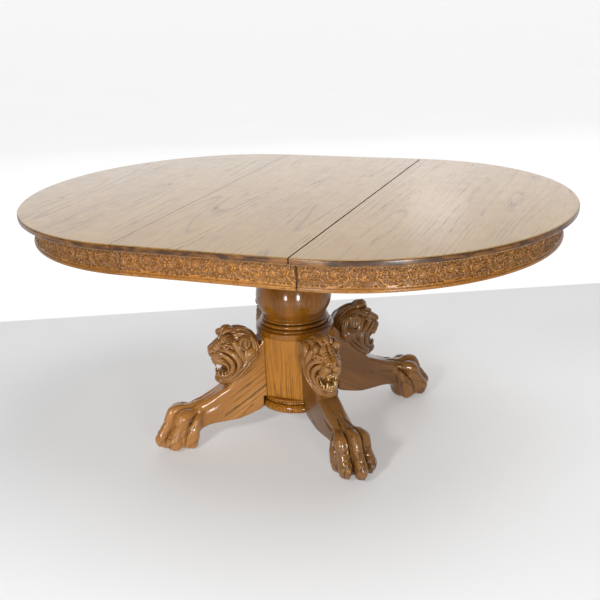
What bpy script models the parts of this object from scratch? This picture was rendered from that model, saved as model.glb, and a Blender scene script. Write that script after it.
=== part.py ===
"""Oak extension pedestal table with four carved lion legs, opened out by one leaf.

Frame: metres, +Z up, origin on the floor under the middle of the top.
+X is the way the two half tops pull apart, -Y is the front.
"""

import math

import bmesh
import bpy
from mathutils import Vector

# ---------------------------------------------------------------- driving dimensions
GAP = 0.0003                 # clearance between pieces that touch
HEIGHT = 0.762
TOP_RADIUS = 0.6096          # 48 inch round top when closed
TOP_THICK = 0.019
TOP_EDGE = 0.005             # rounding of the top's edge
LEAF_WIDTH = 0.508           # 20 inch leaf
OPEN_SEAM = 0.004            # the right half stands a little open
RIM_STEPS = 48               # facets round each half top

APRON_INSET = 0.043
APRON_THICK = 0.021
APRON_HEIGHT = 0.080
BEAD_HEIGHT = 0.011          # plain bead along the bottom of the apron
BEAD_PROUD = 0.003

SLIDE_LENGTH = 0.620
SLIDE_WIDTH = 0.022
SLIDE_HEIGHT = 0.046
SLIDE_GAP = 0.0008           # running clearance between neighbouring slides
LANE_CENTRE = 0.150          # the fixed slides lie this far either side of the middle
TONGUE_REACH = 0.0058

PIN_RADIUS = 0.005
PIN_SOCKET = 0.020           # depth of a pin's socket in the half top
PIN_REACH = 0.018            # length of pin inside the leaf
PIN_SPACING = 0.400

PLATFORM_X = 0.300
PLATFORM_Y = 0.322
PLATFORM_THICK = 0.026

ROD_RADIUS = 0.007
BORE_RADIUS = 0.0085
TURN_STEPS = 32

SHAFT_APOTHEM = 0.110        # middle of the column to its wide faces
SHAFT_HALF_FACE = 0.061      # half the width of a wide face
BASE_BOTTOM = 0.0725
BASE_TOP = 0.1210
SHAFT_TOP = 0.3240
COLLAR_TOP = 0.3790

DOWEL_RADIUS = 0.006
DOWEL_DEPTH = 0.030
DOWEL_HEIGHTS = {"lower": 0.160, "upper": 0.255}

# ---------------------------------------------------------------- derived heights
UNDER_TOP = HEIGHT - TOP_THICK
SLIDE_TOP = UNDER_TOP - GAP
SLIDE_BOTTOM = SLIDE_TOP - SLIDE_HEIGHT
PLATFORM_TOP = SLIDE_BOTTOM - GAP
PLATFORM_BOTTOM = PLATFORM_TOP - PLATFORM_THICK
URN_TOP = PLATFORM_BOTTOM - GAP
APRON_TOP = UNDER_TOP - GAP
APRON_RADIUS = TOP_RADIUS - APRON_INSET
SEAM_X = (LEAF_WIDTH + GAP + OPEN_SEAM) / 2    # straight edge of each half top
LEAF_LEFT = -SEAM_X + GAP
LEAF_RIGHT = LEAF_LEFT + LEAF_WIDTH
LEAF_MIDDLE = (LEAF_LEFT + LEAF_RIGHT) / 2
LANE_PITCH = SLIDE_WIDTH + SLIDE_GAP
DIAGONAL_APOTHEM = (SHAFT_APOTHEM + SHAFT_HALF_FACE) / math.sqrt(2)
LEG_BACK = DIAGONAL_APOTHEM + GAP
LEG_ANGLES = {"front_right": -45, "back_right": 45, "back_left": 135, "front_left": -135}

# Distance of each slide's middle from the table's middle, as opened by one leaf.
SLIDE_SHIFT_CLOSED = 0.160
OUTER_SLIDE_X = SLIDE_SHIFT_CLOSED + SEAM_X
MIDDLE_SLIDE_X = OUTER_SLIDE_X / 2


# ---------------------------------------------------------------- materials
def make_material(name, colour, roughness, metallic=0.0):
    material = bpy.data.materials.new(name)
    material.use_nodes = True
    shader = material.node_tree.nodes["Principled BSDF"]
    shader.inputs["Base Color"].default_value = (*colour, 1.0)
    shader.inputs["Roughness"].default_value = roughness
    shader.inputs["Metallic"].default_value = metallic
    return material


def make_materials():
    return {
        "top": make_material("polished_oak_top", (0.34, 0.20, 0.10), 0.22),
        "apron": make_material("carved_oak_apron", (0.30, 0.14, 0.045), 0.38),
        "column": make_material("golden_oak_column", (0.40, 0.19, 0.05), 0.28),
        "leg": make_material("oak_legs", (0.30, 0.135, 0.045), 0.30),
        "head": make_material("carved_oak_heads", (0.20, 0.085, 0.032), 0.34),
        "slide": make_material("maple_slides", (0.52, 0.36, 0.19), 0.55),
        "dowel": make_material("birch_dowels", (0.62, 0.47, 0.28), 0.60),
        "steel": make_material("dull_steel", (0.35, 0.34, 0.33), 0.45, 1.0),
    }


# ---------------------------------------------------------------- mesh helpers
def finish_object(name, bm, material, smooth=False):
    """Turn a bmesh into a named object with outward faces."""
    bmesh.ops.recalc_face_normals(bm, faces=bm.faces)
    mesh = bpy.data.meshes.new(name)
    bm.to_mesh(mesh)
    bm.free()
    mesh.materials.append(material)
    if smooth:
        mesh.shade_smooth()
        mesh.set_sharp_from_angle(angle=math.radians(35))
    obj = bpy.data.objects.new(name, mesh)
    bpy.context.scene.collection.objects.link(obj)
    return obj


def loft(sections):
    """Skin a list of closed sections that have equal point counts, with flat ends."""
    bm = bmesh.new()
    rings = [[bm.verts.new(point) for point in section] for section in sections]
    count = len(rings[0])
    for near, far in zip(rings, rings[1:]):
        for i in range(count):
            j = (i + 1) % count
            bm.faces.new((near[i], near[j], far[j], far[i]))
    bm.faces.new(rings[0])
    bm.faces.new(reversed(rings[-1]))
    return bm


def extrude_along_x(outline_yz, x_start, x_end):
    return loft([[(x, y, z) for y, z in outline_yz] for x in (x_start, x_end)])


def box(name, low, high, material, bevel=0.0):
    (x0, y0, z0), (x1, y1, z1) = low, high
    outline = [(y0, z0), (y1, z0), (y1, z1), (y0, z1)]
    obj = finish_object(name, extrude_along_x(outline, x0, x1), material)
    if bevel:
        edge = obj.modifiers.new("eased_edges", "BEVEL")
        edge.width = bevel
        edge.segments = 1
    return obj


def turned(name, profile, material, steps=TURN_STEPS):
    """Spin a closed (radius, height) profile round the Z axis."""
    bm = bmesh.new()
    rings = []
    for step in range(steps):
        angle = 2 * math.pi * (step + 0.5) / steps
        c, s = math.cos(angle), math.sin(angle)
        rings.append([bm.verts.new((r * c, r * s, z)) for r, z in profile])
    count = len(profile)
    for step in range(steps):
        near, far = rings[step], rings[(step + 1) % steps]
        for i in range(count):
            j = (i + 1) % count
            bm.faces.new((near[i], near[j], far[j], far[i]))
    return finish_object(name, bm, material, smooth=True)


def rod(name, start, end, radius, material, steps=16):
    """A round bar between two points."""
    start, end = Vector(start), Vector(end)
    axis = (end - start).normalized()
    side = axis.orthogonal().normalized()
    other = axis.cross(side)
    sections = []
    for centre in (start, end):
        ring = []
        for i in range(steps):
            angle = 2 * math.pi * i / steps
            ring.append(centre + side * radius * math.cos(angle) + other * radius * math.sin(angle))
        sections.append(ring)
    return finish_object(name, loft(sections), material, smooth=True)


def cut(obj, cutter):
    """Take the cutter's shape out of an object."""
    cutter.hide_render = True
    cutter.display_type = "WIRE"
    boolean = obj.modifiers.new("cut_" + cutter.name, "BOOLEAN")
    boolean.operation = "DIFFERENCE"
    boolean.solver = "EXACT"
    boolean.object = cutter


def arc(centre, radius, start_deg, end_deg, steps):
    cx, cy = centre
    points = []
    for i in range(steps + 1):
        angle = math.radians(start_deg + (end_deg - start_deg) * i / steps)
        points.append((cx + radius * math.cos(angle), cy + radius * math.sin(angle)))
    return points


def half_turn(point, flip):
    """The point, or the point turned 180 degrees about the Z axis."""
    x, y, z = point
    return (-x, -y, z) if flip else (x, y, z)


# ---------------------------------------------------------------- top
def edge_profile():
    """Inward offset and height of the rounded edge, from the upper face to the lower."""
    upper = arc((TOP_EDGE, HEIGHT - TOP_EDGE), TOP_EDGE, 90, 180, 3)
    lower = arc((TOP_EDGE, UNDER_TOP + TOP_EDGE), TOP_EDGE, 180, 270, 3)
    return upper + lower


def half_top(name, flip, material):
    """The half at +X, or turned to -X: a half disc with its straight edge at SEAM_X."""
    sections = []
    for inset, z in edge_profile():
        ring = []
        for i in range(RIM_STEPS + 1):
            angle = math.radians(-90 + 180 * i / RIM_STEPS)
            radius = TOP_RADIUS - inset
            point = (SEAM_X + radius * math.cos(angle), radius * math.sin(angle), z)
            ring.append(half_turn(point, flip))
        sections.append(ring)
    return finish_object(name, loft(sections), material, smooth=True)


def leaf_outline():
    """Cross-section of the leaf in (y, z), with both long ends rounded."""
    front = [(inset - TOP_RADIUS, z) for inset, z in edge_profile()]
    back = [(-y, z) for y, z in reversed(front)]
    return front + back


def build_top(materials):
    pins_z = UNDER_TOP + TOP_THICK / 2
    left = half_top("left_half_top", True, materials["top"])
    right = half_top("right_half_top", False, materials["top"])
    leaf_mesh = extrude_along_x(leaf_outline(), LEAF_LEFT, LEAF_RIGHT)
    leaf = finish_object("leaf_top", leaf_mesh, materials["top"])

    rows = {"front": -PIN_SPACING, "middle": 0.0, "back": PIN_SPACING}
    for side, half, sign, leaf_edge in (("left", left, -1, LEAF_LEFT), ("right", right, 1, LEAF_RIGHT)):
        seam = sign * SEAM_X
        tip = leaf_edge - sign * PIN_REACH
        for row, y in rows.items():
            root = seam + sign * (PIN_SOCKET - GAP)
            rod(f"{side}_pin_{row}", (tip, y, pins_z), (root, y, pins_z), PIN_RADIUS,
                materials["dowel"])
            socket = rod(f"socket_{side}_{row}", (seam - sign * 0.01, y, pins_z),
                         (seam + sign * PIN_SOCKET, y, pins_z), PIN_RADIUS + GAP, materials["dowel"])
            cut(half, socket)
            notch_half = PIN_RADIUS + 0.001
            notch_end = leaf_edge - sign * (PIN_REACH + 0.001)
            x0, x1 = sorted((leaf_edge + sign * 0.01, notch_end))
            notch = box(f"notch_{side}_{row}", (x0, y - notch_half, UNDER_TOP - 0.01),
                        (x1, y + notch_half, pins_z + notch_half), materials["dowel"])
            cut(leaf, notch)


# ---------------------------------------------------------------- aprons
def apron_outline():
    """Cross-section of the apron: outward offset from its carved face, and height."""
    bottom = APRON_TOP - APRON_HEIGHT
    bead_middle = bottom + BEAD_HEIGHT / 2
    return [
        (-APRON_THICK, APRON_TOP),
        (-APRON_THICK, bottom),
        (0.0, bottom),
        (BEAD_PROUD * 0.8, bottom + BEAD_HEIGHT * 0.2),
        (BEAD_PROUD, bead_middle),
        (BEAD_PROUD * 0.8, bottom + BEAD_HEIGHT * 0.8),
        (0.0, bottom + BEAD_HEIGHT),
        (0.0, APRON_TOP),
    ]


def half_apron(name, flip, material):
    sections = []
    for i in range(RIM_STEPS + 1):
        angle = math.radians(-90 + 180 * i / RIM_STEPS)
        c, s = math.cos(angle), math.sin(angle)
        ring = []
        for offset, z in apron_outline():
            radius = APRON_RADIUS + offset
            ring.append(half_turn((SEAM_X + radius * c, radius * s, z), flip))
        sections.append(ring)
    return finish_object(name, loft(sections), material, smooth=True)


def leaf_apron(name, sign, material):
    outline = [(sign * (APRON_RADIUS + offset), z) for offset, z in apron_outline()]
    mesh = extrude_along_x(outline, LEAF_LEFT, LEAF_RIGHT)
    return finish_object(name, mesh, material, smooth=True)


def build_aprons(materials):
    half_apron("left_half_apron", True, materials["apron"])
    half_apron("right_half_apron", False, materials["apron"])
    leaf_apron("leaf_apron_front", -1, materials["apron"])
    leaf_apron("leaf_apron_back", 1, materials["apron"])


# ---------------------------------------------------------------- underframe
def slide_outline(y_middle, groove, tongue):
    """Slide section in (y, z): a dovetail groove on the +Y side, a tongue on the -Y side."""
    low, high = y_middle - SLIDE_WIDTH / 2, y_middle + SLIDE_WIDTH / 2
    z_middle = (SLIDE_TOP + SLIDE_BOTTOM) / 2
    points = [(low, SLIDE_BOTTOM), (high, SLIDE_BOTTOM)]
    if groove:
        mouth, floor, depth = 0.0044, 0.0062, TONGUE_REACH + 0.0006
        points += [(high, z_middle - mouth), (high - depth, z_middle - floor),
                   (high - depth, z_middle + floor), (high, z_middle + mouth)]
    points += [(high, SLIDE_TOP), (low, SLIDE_TOP)]
    if tongue:
        root, tip = 0.0038, 0.0054
        reach = TONGUE_REACH + SLIDE_GAP
        points += [(low, z_middle + root), (low - reach, z_middle + tip),
                   (low - reach, z_middle - tip), (low, z_middle - root)]
    return points


def slide(name, lane, x_middle, flip, material):
    """One slide of a set. Lanes run from -2 to 2 across the set in the +Y direction."""
    y_middle = -LANE_CENTRE + lane * LANE_PITCH
    outline = slide_outline(y_middle, groove=lane < 2, tongue=lane > -2)
    half = SLIDE_LENGTH / 2
    sections = []
    for x in (x_middle - half, x_middle + half):
        sections.append([half_turn((x, y, z), flip) for y, z in outline])
    return finish_object(name, loft(sections), material)


def build_slides(materials):
    """Two equal sets of five slides; the back set is the front set turned half round."""
    pieces = {}
    for row, flip in (("front", False), ("back", True)):
        low_side, high_side = ("right", "left") if flip else ("left", "right")
        layout = (
            (f"{low_side}_outer_slide_{row}", -2, -OUTER_SLIDE_X),
            (f"{low_side}_middle_slide_{row}", -1, -MIDDLE_SLIDE_X),
            (f"fixed_slide_{row}", 0, 0.0),
            (f"{high_side}_middle_slide_{row}", 1, MIDDLE_SLIDE_X),
            (f"{high_side}_outer_slide_{row}", 2, OUTER_SLIDE_X),
        )
        for name, lane, x_middle in layout:
            pieces[name] = slide(name, lane, x_middle, flip, materials["slide"])
    return pieces


def build_cleats(materials):
    """A cleat ties the two outer slides of each half together, near the rim."""
    near = -LANE_CENTRE - 2 * LANE_PITCH + SLIDE_WIDTH / 2 + GAP
    far = LANE_CENTRE - 2 * LANE_PITCH - SLIDE_WIDTH / 2 - GAP - TONGUE_REACH - SLIDE_GAP
    x_outer = OUTER_SLIDE_X + SLIDE_LENGTH / 2 - 0.004
    x_inner = x_outer - 0.060
    low_z = SLIDE_TOP - 0.024
    box("left_half_cleat", (-x_outer, near, low_z), (-x_inner, far, SLIDE_TOP),
        materials["slide"], bevel=0.0015)
    box("right_half_cleat", (x_inner, -far, low_z), (x_outer, -near, SLIDE_TOP),
        materials["slide"], bevel=0.0015)
    for row, sign in (("front", -1), ("back", 1)):
        y = sign * 0.350
        box(f"leaf_batten_{row}", (LEAF_MIDDLE - 0.215, y - 0.024, SLIDE_TOP - 0.020),
            (LEAF_MIDDLE + 0.215, y + 0.024, SLIDE_TOP), materials["slide"], bevel=0.0015)


def build_platform(materials, slides):
    half_x, half_y = PLATFORM_X / 2, PLATFORM_Y / 2
    platform = box("pedestal_platform", (-half_x, -half_y, PLATFORM_BOTTOM),
                   (half_x, half_y, PLATFORM_TOP), materials["slide"], bevel=0.003)
    cut(platform, rod("rod_hole", (0, 0, PLATFORM_BOTTOM - 0.01), (0, 0, PLATFORM_TOP + 0.01),
                      BORE_RADIUS, materials["steel"]))
    bolt_reach = PLATFORM_TOP + 0.026
    for row, y in (("front", -LANE_CENTRE), ("back", LANE_CENTRE)):
        for side, x in (("left", -0.120), ("right", 0.120)):
            name = f"platform_bolt_{row}_{side}"
            head_top = PLATFORM_BOTTOM - GAP
            outline = ((0.0085, head_top - 0.0055), (0.0085, head_top), (0.004, head_top),
                       (0.004, bolt_reach))
            bolt_body(name, (x, y), outline, materials["steel"])
            hole = rod(name + "_hole", (x, y, head_top - 0.002), (x, y, bolt_reach + 0.002),
                       0.0043, materials["steel"], steps=12)
            cut(platform, hole)
            cut(slides[f"fixed_slide_{row}"], hole)


def bolt_body(name, centre, outline, material):
    """A bolt standing on the axis at centre: hexagonal head below, round shank above."""
    cx, cy = centre
    sections = []
    for index, (radius, z) in enumerate(outline):
        ring = []
        for i in range(12):
            angle = 2 * math.pi * i / 12
            hex_shape = index < 2
            flat = 1.0 if i % 2 == 0 or not hex_shape else math.cos(math.pi / 6)
            ring.append((cx + radius * flat * math.cos(angle), cy + radius * flat * math.sin(angle), z))
        sections.append(ring)
    return finish_object(name, loft(sections), material)


# ---------------------------------------------------------------- column
def build_column(materials):
    bead = arc((0.1180, 0.0885), 0.0145, -90, 90, 6)
    base = [(BORE_RADIUS, BASE_BOTTOM), (0.1140, BASE_BOTTOM)] + bead
    base += [(0.1200, 0.1045), (0.1205, 0.1100), (0.1225, 0.1140), (0.1250, 0.1165), (0.1250, BASE_TOP),
             (BORE_RADIUS, BASE_TOP)]
    turned("pedestal_base_ring", base, materials["column"])

    shaft_low = BASE_TOP + GAP
    shaft_high = SHAFT_TOP - GAP
    a, b = SHAFT_APOTHEM, SHAFT_HALF_FACE
    corners = [(a, -b), (a, b), (b, a), (-b, a), (-a, b), (-a, -b), (-b, -a), (b, -a)]
    mesh = loft([[(x, y, z) for x, y in corners] for z in (shaft_low, shaft_high)])
    shaft = finish_object("pedestal_shaft", mesh, materials["column"])
    cut(shaft, rod("shaft_bore", (0, 0, shaft_low - 0.01), (0, 0, shaft_high + 0.01),
                   BORE_RADIUS, materials["steel"]))

    collar_torus = arc((0.1055, 0.3610), 0.0060, -70, 70, 4)
    collar = [(BORE_RADIUS, SHAFT_TOP), (0.1225, SHAFT_TOP), (0.1262, 0.3270), (0.1262, 0.3420),
              (0.1225, 0.3455), (0.1150, 0.3465), (0.1150, 0.3530)]
    collar += collar_torus
    collar += [(0.1030, 0.3705), (0.1045, 0.3740), (0.1050, COLLAR_TOP), (BORE_RADIUS, COLLAR_TOP)]
    turned("pedestal_collar", collar, materials["column"])

    low = COLLAR_TOP + GAP
    urn = [(BORE_RADIUS, low), (0.1000, low), (0.1010, 0.3860), (0.1080, 0.3960), (0.1145, 0.4080),
           (0.1190, 0.4210), (0.1210, 0.4350), (0.1205, 0.4500), (0.1180, 0.4680), (0.1130, 0.4900),
           (0.1050, 0.5150), (0.0960, 0.5400), (0.0890, 0.5650), (0.0860, 0.5880), (0.0870, 0.6060),
           (0.0930, 0.6230), (0.1050, 0.6380), (0.1120, 0.6430), (0.1120, URN_TOP),
           (BORE_RADIUS, URN_TOP)]
    turned("pedestal_urn", urn, materials["column"])
    return shaft


def build_tie_rod(materials):
    """A long rod with a washer and a nut at each end draws the whole column together."""
    washer_thick, nut_thick = 0.0025, 0.011
    rod("tie_rod", (0, 0, BASE_BOTTOM - 0.018), (0, 0, PLATFORM_TOP + 0.018), ROD_RADIUS,
        materials["steel"])
    for place, face, sign in (("bottom", BASE_BOTTOM, -1), ("top", PLATFORM_TOP, 1)):
        near = face + sign * GAP
        far = near + sign * washer_thick
        ring_piece(f"tie_rod_washer_{place}", near, far, 0.018, 24, materials["steel"])
        near = far + sign * GAP
        far = near + sign * nut_thick
        ring_piece(f"tie_rod_nut_{place}", near, far, 0.0125, 6, materials["steel"])


def ring_piece(name, z_start, z_end, radius, outer_steps, material):
    """A washer or a nut round the tie rod: outer_steps corners outside, a round hole inside."""
    inner_steps = 24
    low, high = sorted((z_start, z_end))
    bm = bmesh.new()
    flat_radius = radius * math.cos(math.pi / outer_steps)
    columns = []
    for i in range(inner_steps):
        angle = 2 * math.pi * i / inner_steps
        within = (angle + math.pi / outer_steps) % (2 * math.pi / outer_steps) - math.pi / outer_steps
        outer = flat_radius / math.cos(abs(within) - math.pi / outer_steps)
        inner = ROD_RADIUS + GAP
        c, s = math.cos(angle), math.sin(angle)
        columns.append([bm.verts.new((r * c, r * s, z)) for r, z in
                        ((inner, low), (outer, low), (outer, high), (inner, high))])
    for i in range(inner_steps):
        near, far = columns[i], columns[(i + 1) % inner_steps]
        for k in range(4):
            m = (k + 1) % 4
            bm.faces.new((near[k], near[m], far[m], far[k]))
    return finish_object(name, bm, material)


# ---------------------------------------------------------------- legs
# Each head sits on a straight sloping saddle cut across the top of its leg.
SADDLE_LOW = (0.2500, 0.1770)      # distance out and height, under the chin
SADDLE_HIGH = (LEG_BACK, 0.3180)   # against the column

# Side view of a leg: distance out from the column's axis, underside, top, half width and
# depth of the grooves between the toes. A top of None lies on the saddle.
LEG_STATIONS = (
    (LEG_BACK, 0.1222, None, 0.0340, 0.0),
    (0.1328, 0.1222, None, 0.0340, 0.0),
    (0.1336, 0.0850, None, 0.0340, 0.0),
    (0.1500, 0.0780, None, 0.0340, 0.0),
    (0.1850, 0.0680, None, 0.0340, 0.0),
    (0.2200, 0.0605, None, 0.0340, 0.0),
    (0.2500, 0.0600, None, 0.0340, 0.0),
    (0.2700, 0.0605, 0.1715, 0.0340, 0.0),
    (0.2950, 0.0600, 0.1585, 0.0335, 0.0),
    (0.3200, 0.0560, 0.1480, 0.0340, 0.0),
    (0.3400, 0.0480, 0.1435, 0.0370, 0.002),
    (0.3490, 0.0230, 0.1420, 0.0400, 0.004),
    (0.3600, 0.0000, 0.1400, 0.0450, 0.006),
    (0.3800, 0.0000, 0.1390, 0.0525, 0.008),
    (0.4050, 0.0000, 0.1485, 0.0590, 0.009),
    (0.4260, 0.0000, 0.1480, 0.0620, 0.011),
    (0.4400, 0.0000, 0.1400, 0.0630, 0.012),
    (0.4500, 0.0000, 0.1080, 0.0630, 0.012),
    (0.4640, 0.0000, 0.0850, 0.0600, 0.012),
    (0.4760, 0.0060, 0.0710, 0.0550, 0.011),
    (0.4880, 0.0200, 0.0640, 0.0440, 0.008),
    (0.4960, 0.0360, 0.0580, 0.0300, 0.002),
)


def saddle_height(out):
    """Height of the saddle at a distance out from the column's axis."""
    (low_out, low_z), (high_out, high_z) = SADDLE_LOW, SADDLE_HIGH
    return low_z + (high_z - low_z) * (out - low_out) / (high_out - low_out)


def saddle_reach(z):
    """Distance out from the column's axis of the saddle at a height."""
    (low_out, low_z), (high_out, high_z) = SADDLE_LOW, SADDLE_HIGH
    return low_out + (high_out - low_out) * (z - low_z) / (high_z - low_z)


def leg_section(low, high, half_width, groove):
    """Section across a leg in (sideways, height): flat below, four knuckles above."""
    height = high - low
    points = [(-0.84, 0.0), (-0.28, 0.0), (0.28, 0.0), (0.84, 0.0), (0.97, 0.06), (1.0, 0.16), (1.0, 0.55)]
    section = [(u * half_width, low + v * height) for u, v in points]
    crown_steps = 16
    spread = min(1.0, groove / 0.004)
    for i in range(crown_steps + 1):
        u = 1 - 2 * i / crown_steps
        corner = 0.10 + 0.22 * spread
        fall = corner * abs(u) ** (6 - 3 * spread)
        valley = groove * (0.5 + 0.5 * math.cos(4 * math.pi * u))
        edge_fade = 1 - abs(u) ** 8
        z = high - fall * min(height, 0.10) - valley * edge_fade
        section.append((u * half_width * 0.985, z))
    section += [(-half_width, low + 0.55 * height), (-half_width, low + 0.16 * height),
                (-0.97 * half_width, low + 0.06 * height)]
    return section


def turn_to(points, angle_deg):
    """Turn (outward, sideways, height) points to a direction round the column."""
    angle = math.radians(angle_deg)
    c, s = math.cos(angle), math.sin(angle)
    return [(r * c - t * s, r * s + t * c, z) for r, t, z in points]


def build_legs(materials, shaft):
    for corner, angle in LEG_ANGLES.items():
        sections = []
        for out, low, high, half_width, groove in LEG_STATIONS:
            if high is None:
                high = saddle_height(out)
            outline = leg_section(low, high, half_width, groove)
            sections.append(turn_to([(out, t, z) for t, z in outline], angle))
        leg = finish_object(f"leg_{corner}", loft(sections), materials["leg"], smooth=True)
        for level, z in DOWEL_HEIGHTS.items():
            inner = DIAGONAL_APOTHEM - DOWEL_DEPTH
            outer = LEG_BACK + DOWEL_DEPTH
            start, end = turn_to([(inner + GAP, 0, z), (outer - GAP, 0, z)], angle)
            rod(f"leg_dowel_{level}_{corner}", start, end, DOWEL_RADIUS, materials["dowel"], steps=12)
            start, end = turn_to([(inner, 0, z), (outer, 0, z)], angle)
            hole = rod(f"dowel_hole_{level}_{corner}", start, end, DOWEL_RADIUS + GAP,
                       materials["dowel"], steps=12)
            cut(leg, hole)
            cut(shaft, hole)


# ---------------------------------------------------------------- lion heads
HEAD_CLEARANCE = 0.1290   # the heads' backs stand this far out, clear of the collar
# Level slices of a head from the chin up: height, front and half width.
HEAD_SLICES = (
    (0.1800, 0.2600, 0.018),
    (0.1870, 0.2655, 0.023),
    (0.2000, 0.2715, 0.029),
    (0.2120, 0.2755, 0.034),
    (0.2280, 0.2790, 0.038),
    (0.2360, 0.2680, 0.040),
    (0.2460, 0.2580, 0.043),
    (0.2530, 0.2750, 0.046),
    (0.2680, 0.2870, 0.050),
    (0.2830, 0.2930, 0.054),
    (0.2960, 0.2980, 0.057),
    (0.3100, 0.2985, 0.058),
    (0.3220, 0.2850, 0.058),
    (0.3310, 0.2700, 0.058),
    (0.3450, 0.2600, 0.056),
    (0.3570, 0.2500, 0.050),
    (0.3650, 0.2350, 0.040),
    (0.3700, 0.2150, 0.026),
)
# Outline of a slice: part of the way from back to front, part of the half width.
HEAD_OUTLINE = ((0.0, 0.70), (0.12, 0.94), (0.30, 1.0), (0.48, 0.96), (0.64, 0.76), (0.80, 0.56),
                (0.94, 0.44), (1.0, 0.20))


def head_back(z):
    """The back of a head follows the saddle, then stands upright and rounds in at the crown."""
    crown = max(0.0, z - 0.355) * 1.3
    return max(saddle_reach(z) + 0.0006, HEAD_CLEARANCE) + crown


def build_heads(materials):
    for corner, angle in LEG_ANGLES.items():
        sections = []
        for z, front, half_width in HEAD_SLICES:
            back = head_back(z)
            near = [(back + (front - back) * t, half_width * w, z) for t, w in HEAD_OUTLINE]
            far = [(r, -side, z) for r, side, z in reversed(near)]
            sections.append(turn_to(near + far, angle))
        finish_object(f"lion_head_{corner}", loft(sections), materials["head"], smooth=True)


# ---------------------------------------------------------------- assembly
def main():
    for obj in list(bpy.data.objects):
        bpy.data.objects.remove(obj, do_unlink=True)
    materials = make_materials()
    build_top(materials)
    build_aprons(materials)
    slides = build_slides(materials)
    build_cleats(materials)
    build_platform(materials, slides)
    shaft = build_column(materials)
    build_tie_rod(materials)
    build_legs(materials, shaft)
    build_heads(materials)


main()
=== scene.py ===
"""The looks of the oak extension table: polished top, pressed-carved aprons, turned column,
carved lion legs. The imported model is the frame; every piece here rides on one of its bodies."""
import math

import bmesh
import bpy
import numpy as np
from mathutils import Matrix, Vector


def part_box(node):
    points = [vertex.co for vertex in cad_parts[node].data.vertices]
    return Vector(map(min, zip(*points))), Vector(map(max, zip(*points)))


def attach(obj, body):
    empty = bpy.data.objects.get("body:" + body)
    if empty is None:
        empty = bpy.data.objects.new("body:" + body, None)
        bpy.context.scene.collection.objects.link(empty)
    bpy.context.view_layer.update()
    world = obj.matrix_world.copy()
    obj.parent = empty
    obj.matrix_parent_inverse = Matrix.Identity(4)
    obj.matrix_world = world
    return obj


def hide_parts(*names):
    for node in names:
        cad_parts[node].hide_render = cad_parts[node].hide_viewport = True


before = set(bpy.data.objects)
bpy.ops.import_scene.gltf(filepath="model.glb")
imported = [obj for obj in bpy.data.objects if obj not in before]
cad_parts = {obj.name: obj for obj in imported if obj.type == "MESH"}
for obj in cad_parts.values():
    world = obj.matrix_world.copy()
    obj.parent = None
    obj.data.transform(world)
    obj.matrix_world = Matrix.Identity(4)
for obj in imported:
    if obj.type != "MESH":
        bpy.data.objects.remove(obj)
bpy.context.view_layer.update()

# ---------------------------------------------------------------- sizes, in metres
SIDES = (("left", -1), ("right", 1))
HALF_LOW, HALF_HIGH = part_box("right_half_top")
LEAF_LOW, LEAF_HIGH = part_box("leaf_top")
HEIGHT = HALF_HIGH.z
UNDER_TOP = HALF_LOW.z
SEAM_X = HALF_LOW.x             # straight edge of each half top
TOP_RADIUS = HALF_HIGH.y
TOP_EDGE = 0.005                # rounding of the rim
SEAM_EDGE = 0.0007              # the seams' corners are only eased
PIN_ROOM = 0.001                # clearance round the pins in the leaf

APRON_LOW, APRON_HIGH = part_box("leaf_apron_back")
APRON_BEAD = 0.0110
APRON_BEAD_PROUD = 0.0030
APRON_EASE = 0.0022             # the upright corners where two aprons meet are eased
APRON_FACE = APRON_HIGH.y - APRON_BEAD_PROUD
APRON_THICK = APRON_FACE - APRON_LOW.y

SHAFT_FACE = 0.061              # half the width of a wide face
SHAFT_EASE = 0.0022
BORE_RADIUS = 0.0085
LEG_ANGLES = {"front_right": -45, "back_right": 45, "back_left": 135, "front_left": -135}
MM = 0.001                      # turned and sculpted shapes are written in millimetres


# ---------------------------------------------------------------- meshes
def new_object(name, data):
    """An object for a mesh, light or camera, linked to the scene."""
    obj = bpy.data.objects.new(name, data)
    bpy.context.scene.collection.objects.link(obj)
    return obj


def add_piece(name, mesh, material, body, stands_for, turn=0.0):
    """A piece of one material that rides on a body and stands for one CAD node."""
    piece = new_object(name, mesh)
    mesh.materials.append(material)
    piece.rotation_euler = (0, 0, math.radians(turn))
    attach(piece, body)
    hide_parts(stands_for)
    return piece


def mesh_of(name, verts, quads, caps=(), sharp=0):
    """A smooth mesh from vertices, quads and a few many-sided faces. Edges that turn by more than sharp
    degrees stay sharp."""
    mesh = bpy.data.meshes.new(name)
    loops = np.concatenate([np.ravel(quads), *caps]).astype(np.int32)
    sizes = np.array([4] * len(quads) + [len(c) for c in caps])
    mesh.vertices.add(len(verts))
    mesh.vertices.foreach_set("co", np.asarray(verts, np.float32).ravel())
    mesh.loops.add(len(loops))
    mesh.loops.foreach_set("vertex_index", loops)
    mesh.polygons.add(len(sizes))
    mesh.polygons.foreach_set("loop_start", (np.cumsum(sizes) - sizes).astype(np.int32))
    mesh.update(calc_edges=True)
    mesh.validate()
    mesh.shade_smooth()
    if sharp:
        mesh.set_sharp_from_angle(angle=math.radians(sharp))
    return mesh


def loft(name, sections, closed=False, sharp=35):
    """A mesh over a row of equal rings, its ends capped unless the row closes on itself."""
    rings = np.array(sections, float)
    steps, count = rings.shape[:2]
    index = np.arange(steps * count).reshape(steps, count)
    near, far = (index, np.roll(index, -1, axis=0)) if closed else (index[:-1], index[1:])
    quads = np.stack([near, np.roll(near, -1, axis=1), np.roll(far, -1, axis=1), far], axis=-1)
    caps = () if closed else (index[0][::-1], index[-1])
    mesh = mesh_of(name, rings.reshape(-1, 3), quads.reshape(-1, 4), caps, sharp)
    # turn every face outward, whichever way round the rings ran
    bm = bmesh.new()
    bm.from_mesh(mesh)
    bmesh.ops.recalc_face_normals(bm, faces=bm.faces)
    bm.to_mesh(mesh)
    bm.free()
    return mesh


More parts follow.
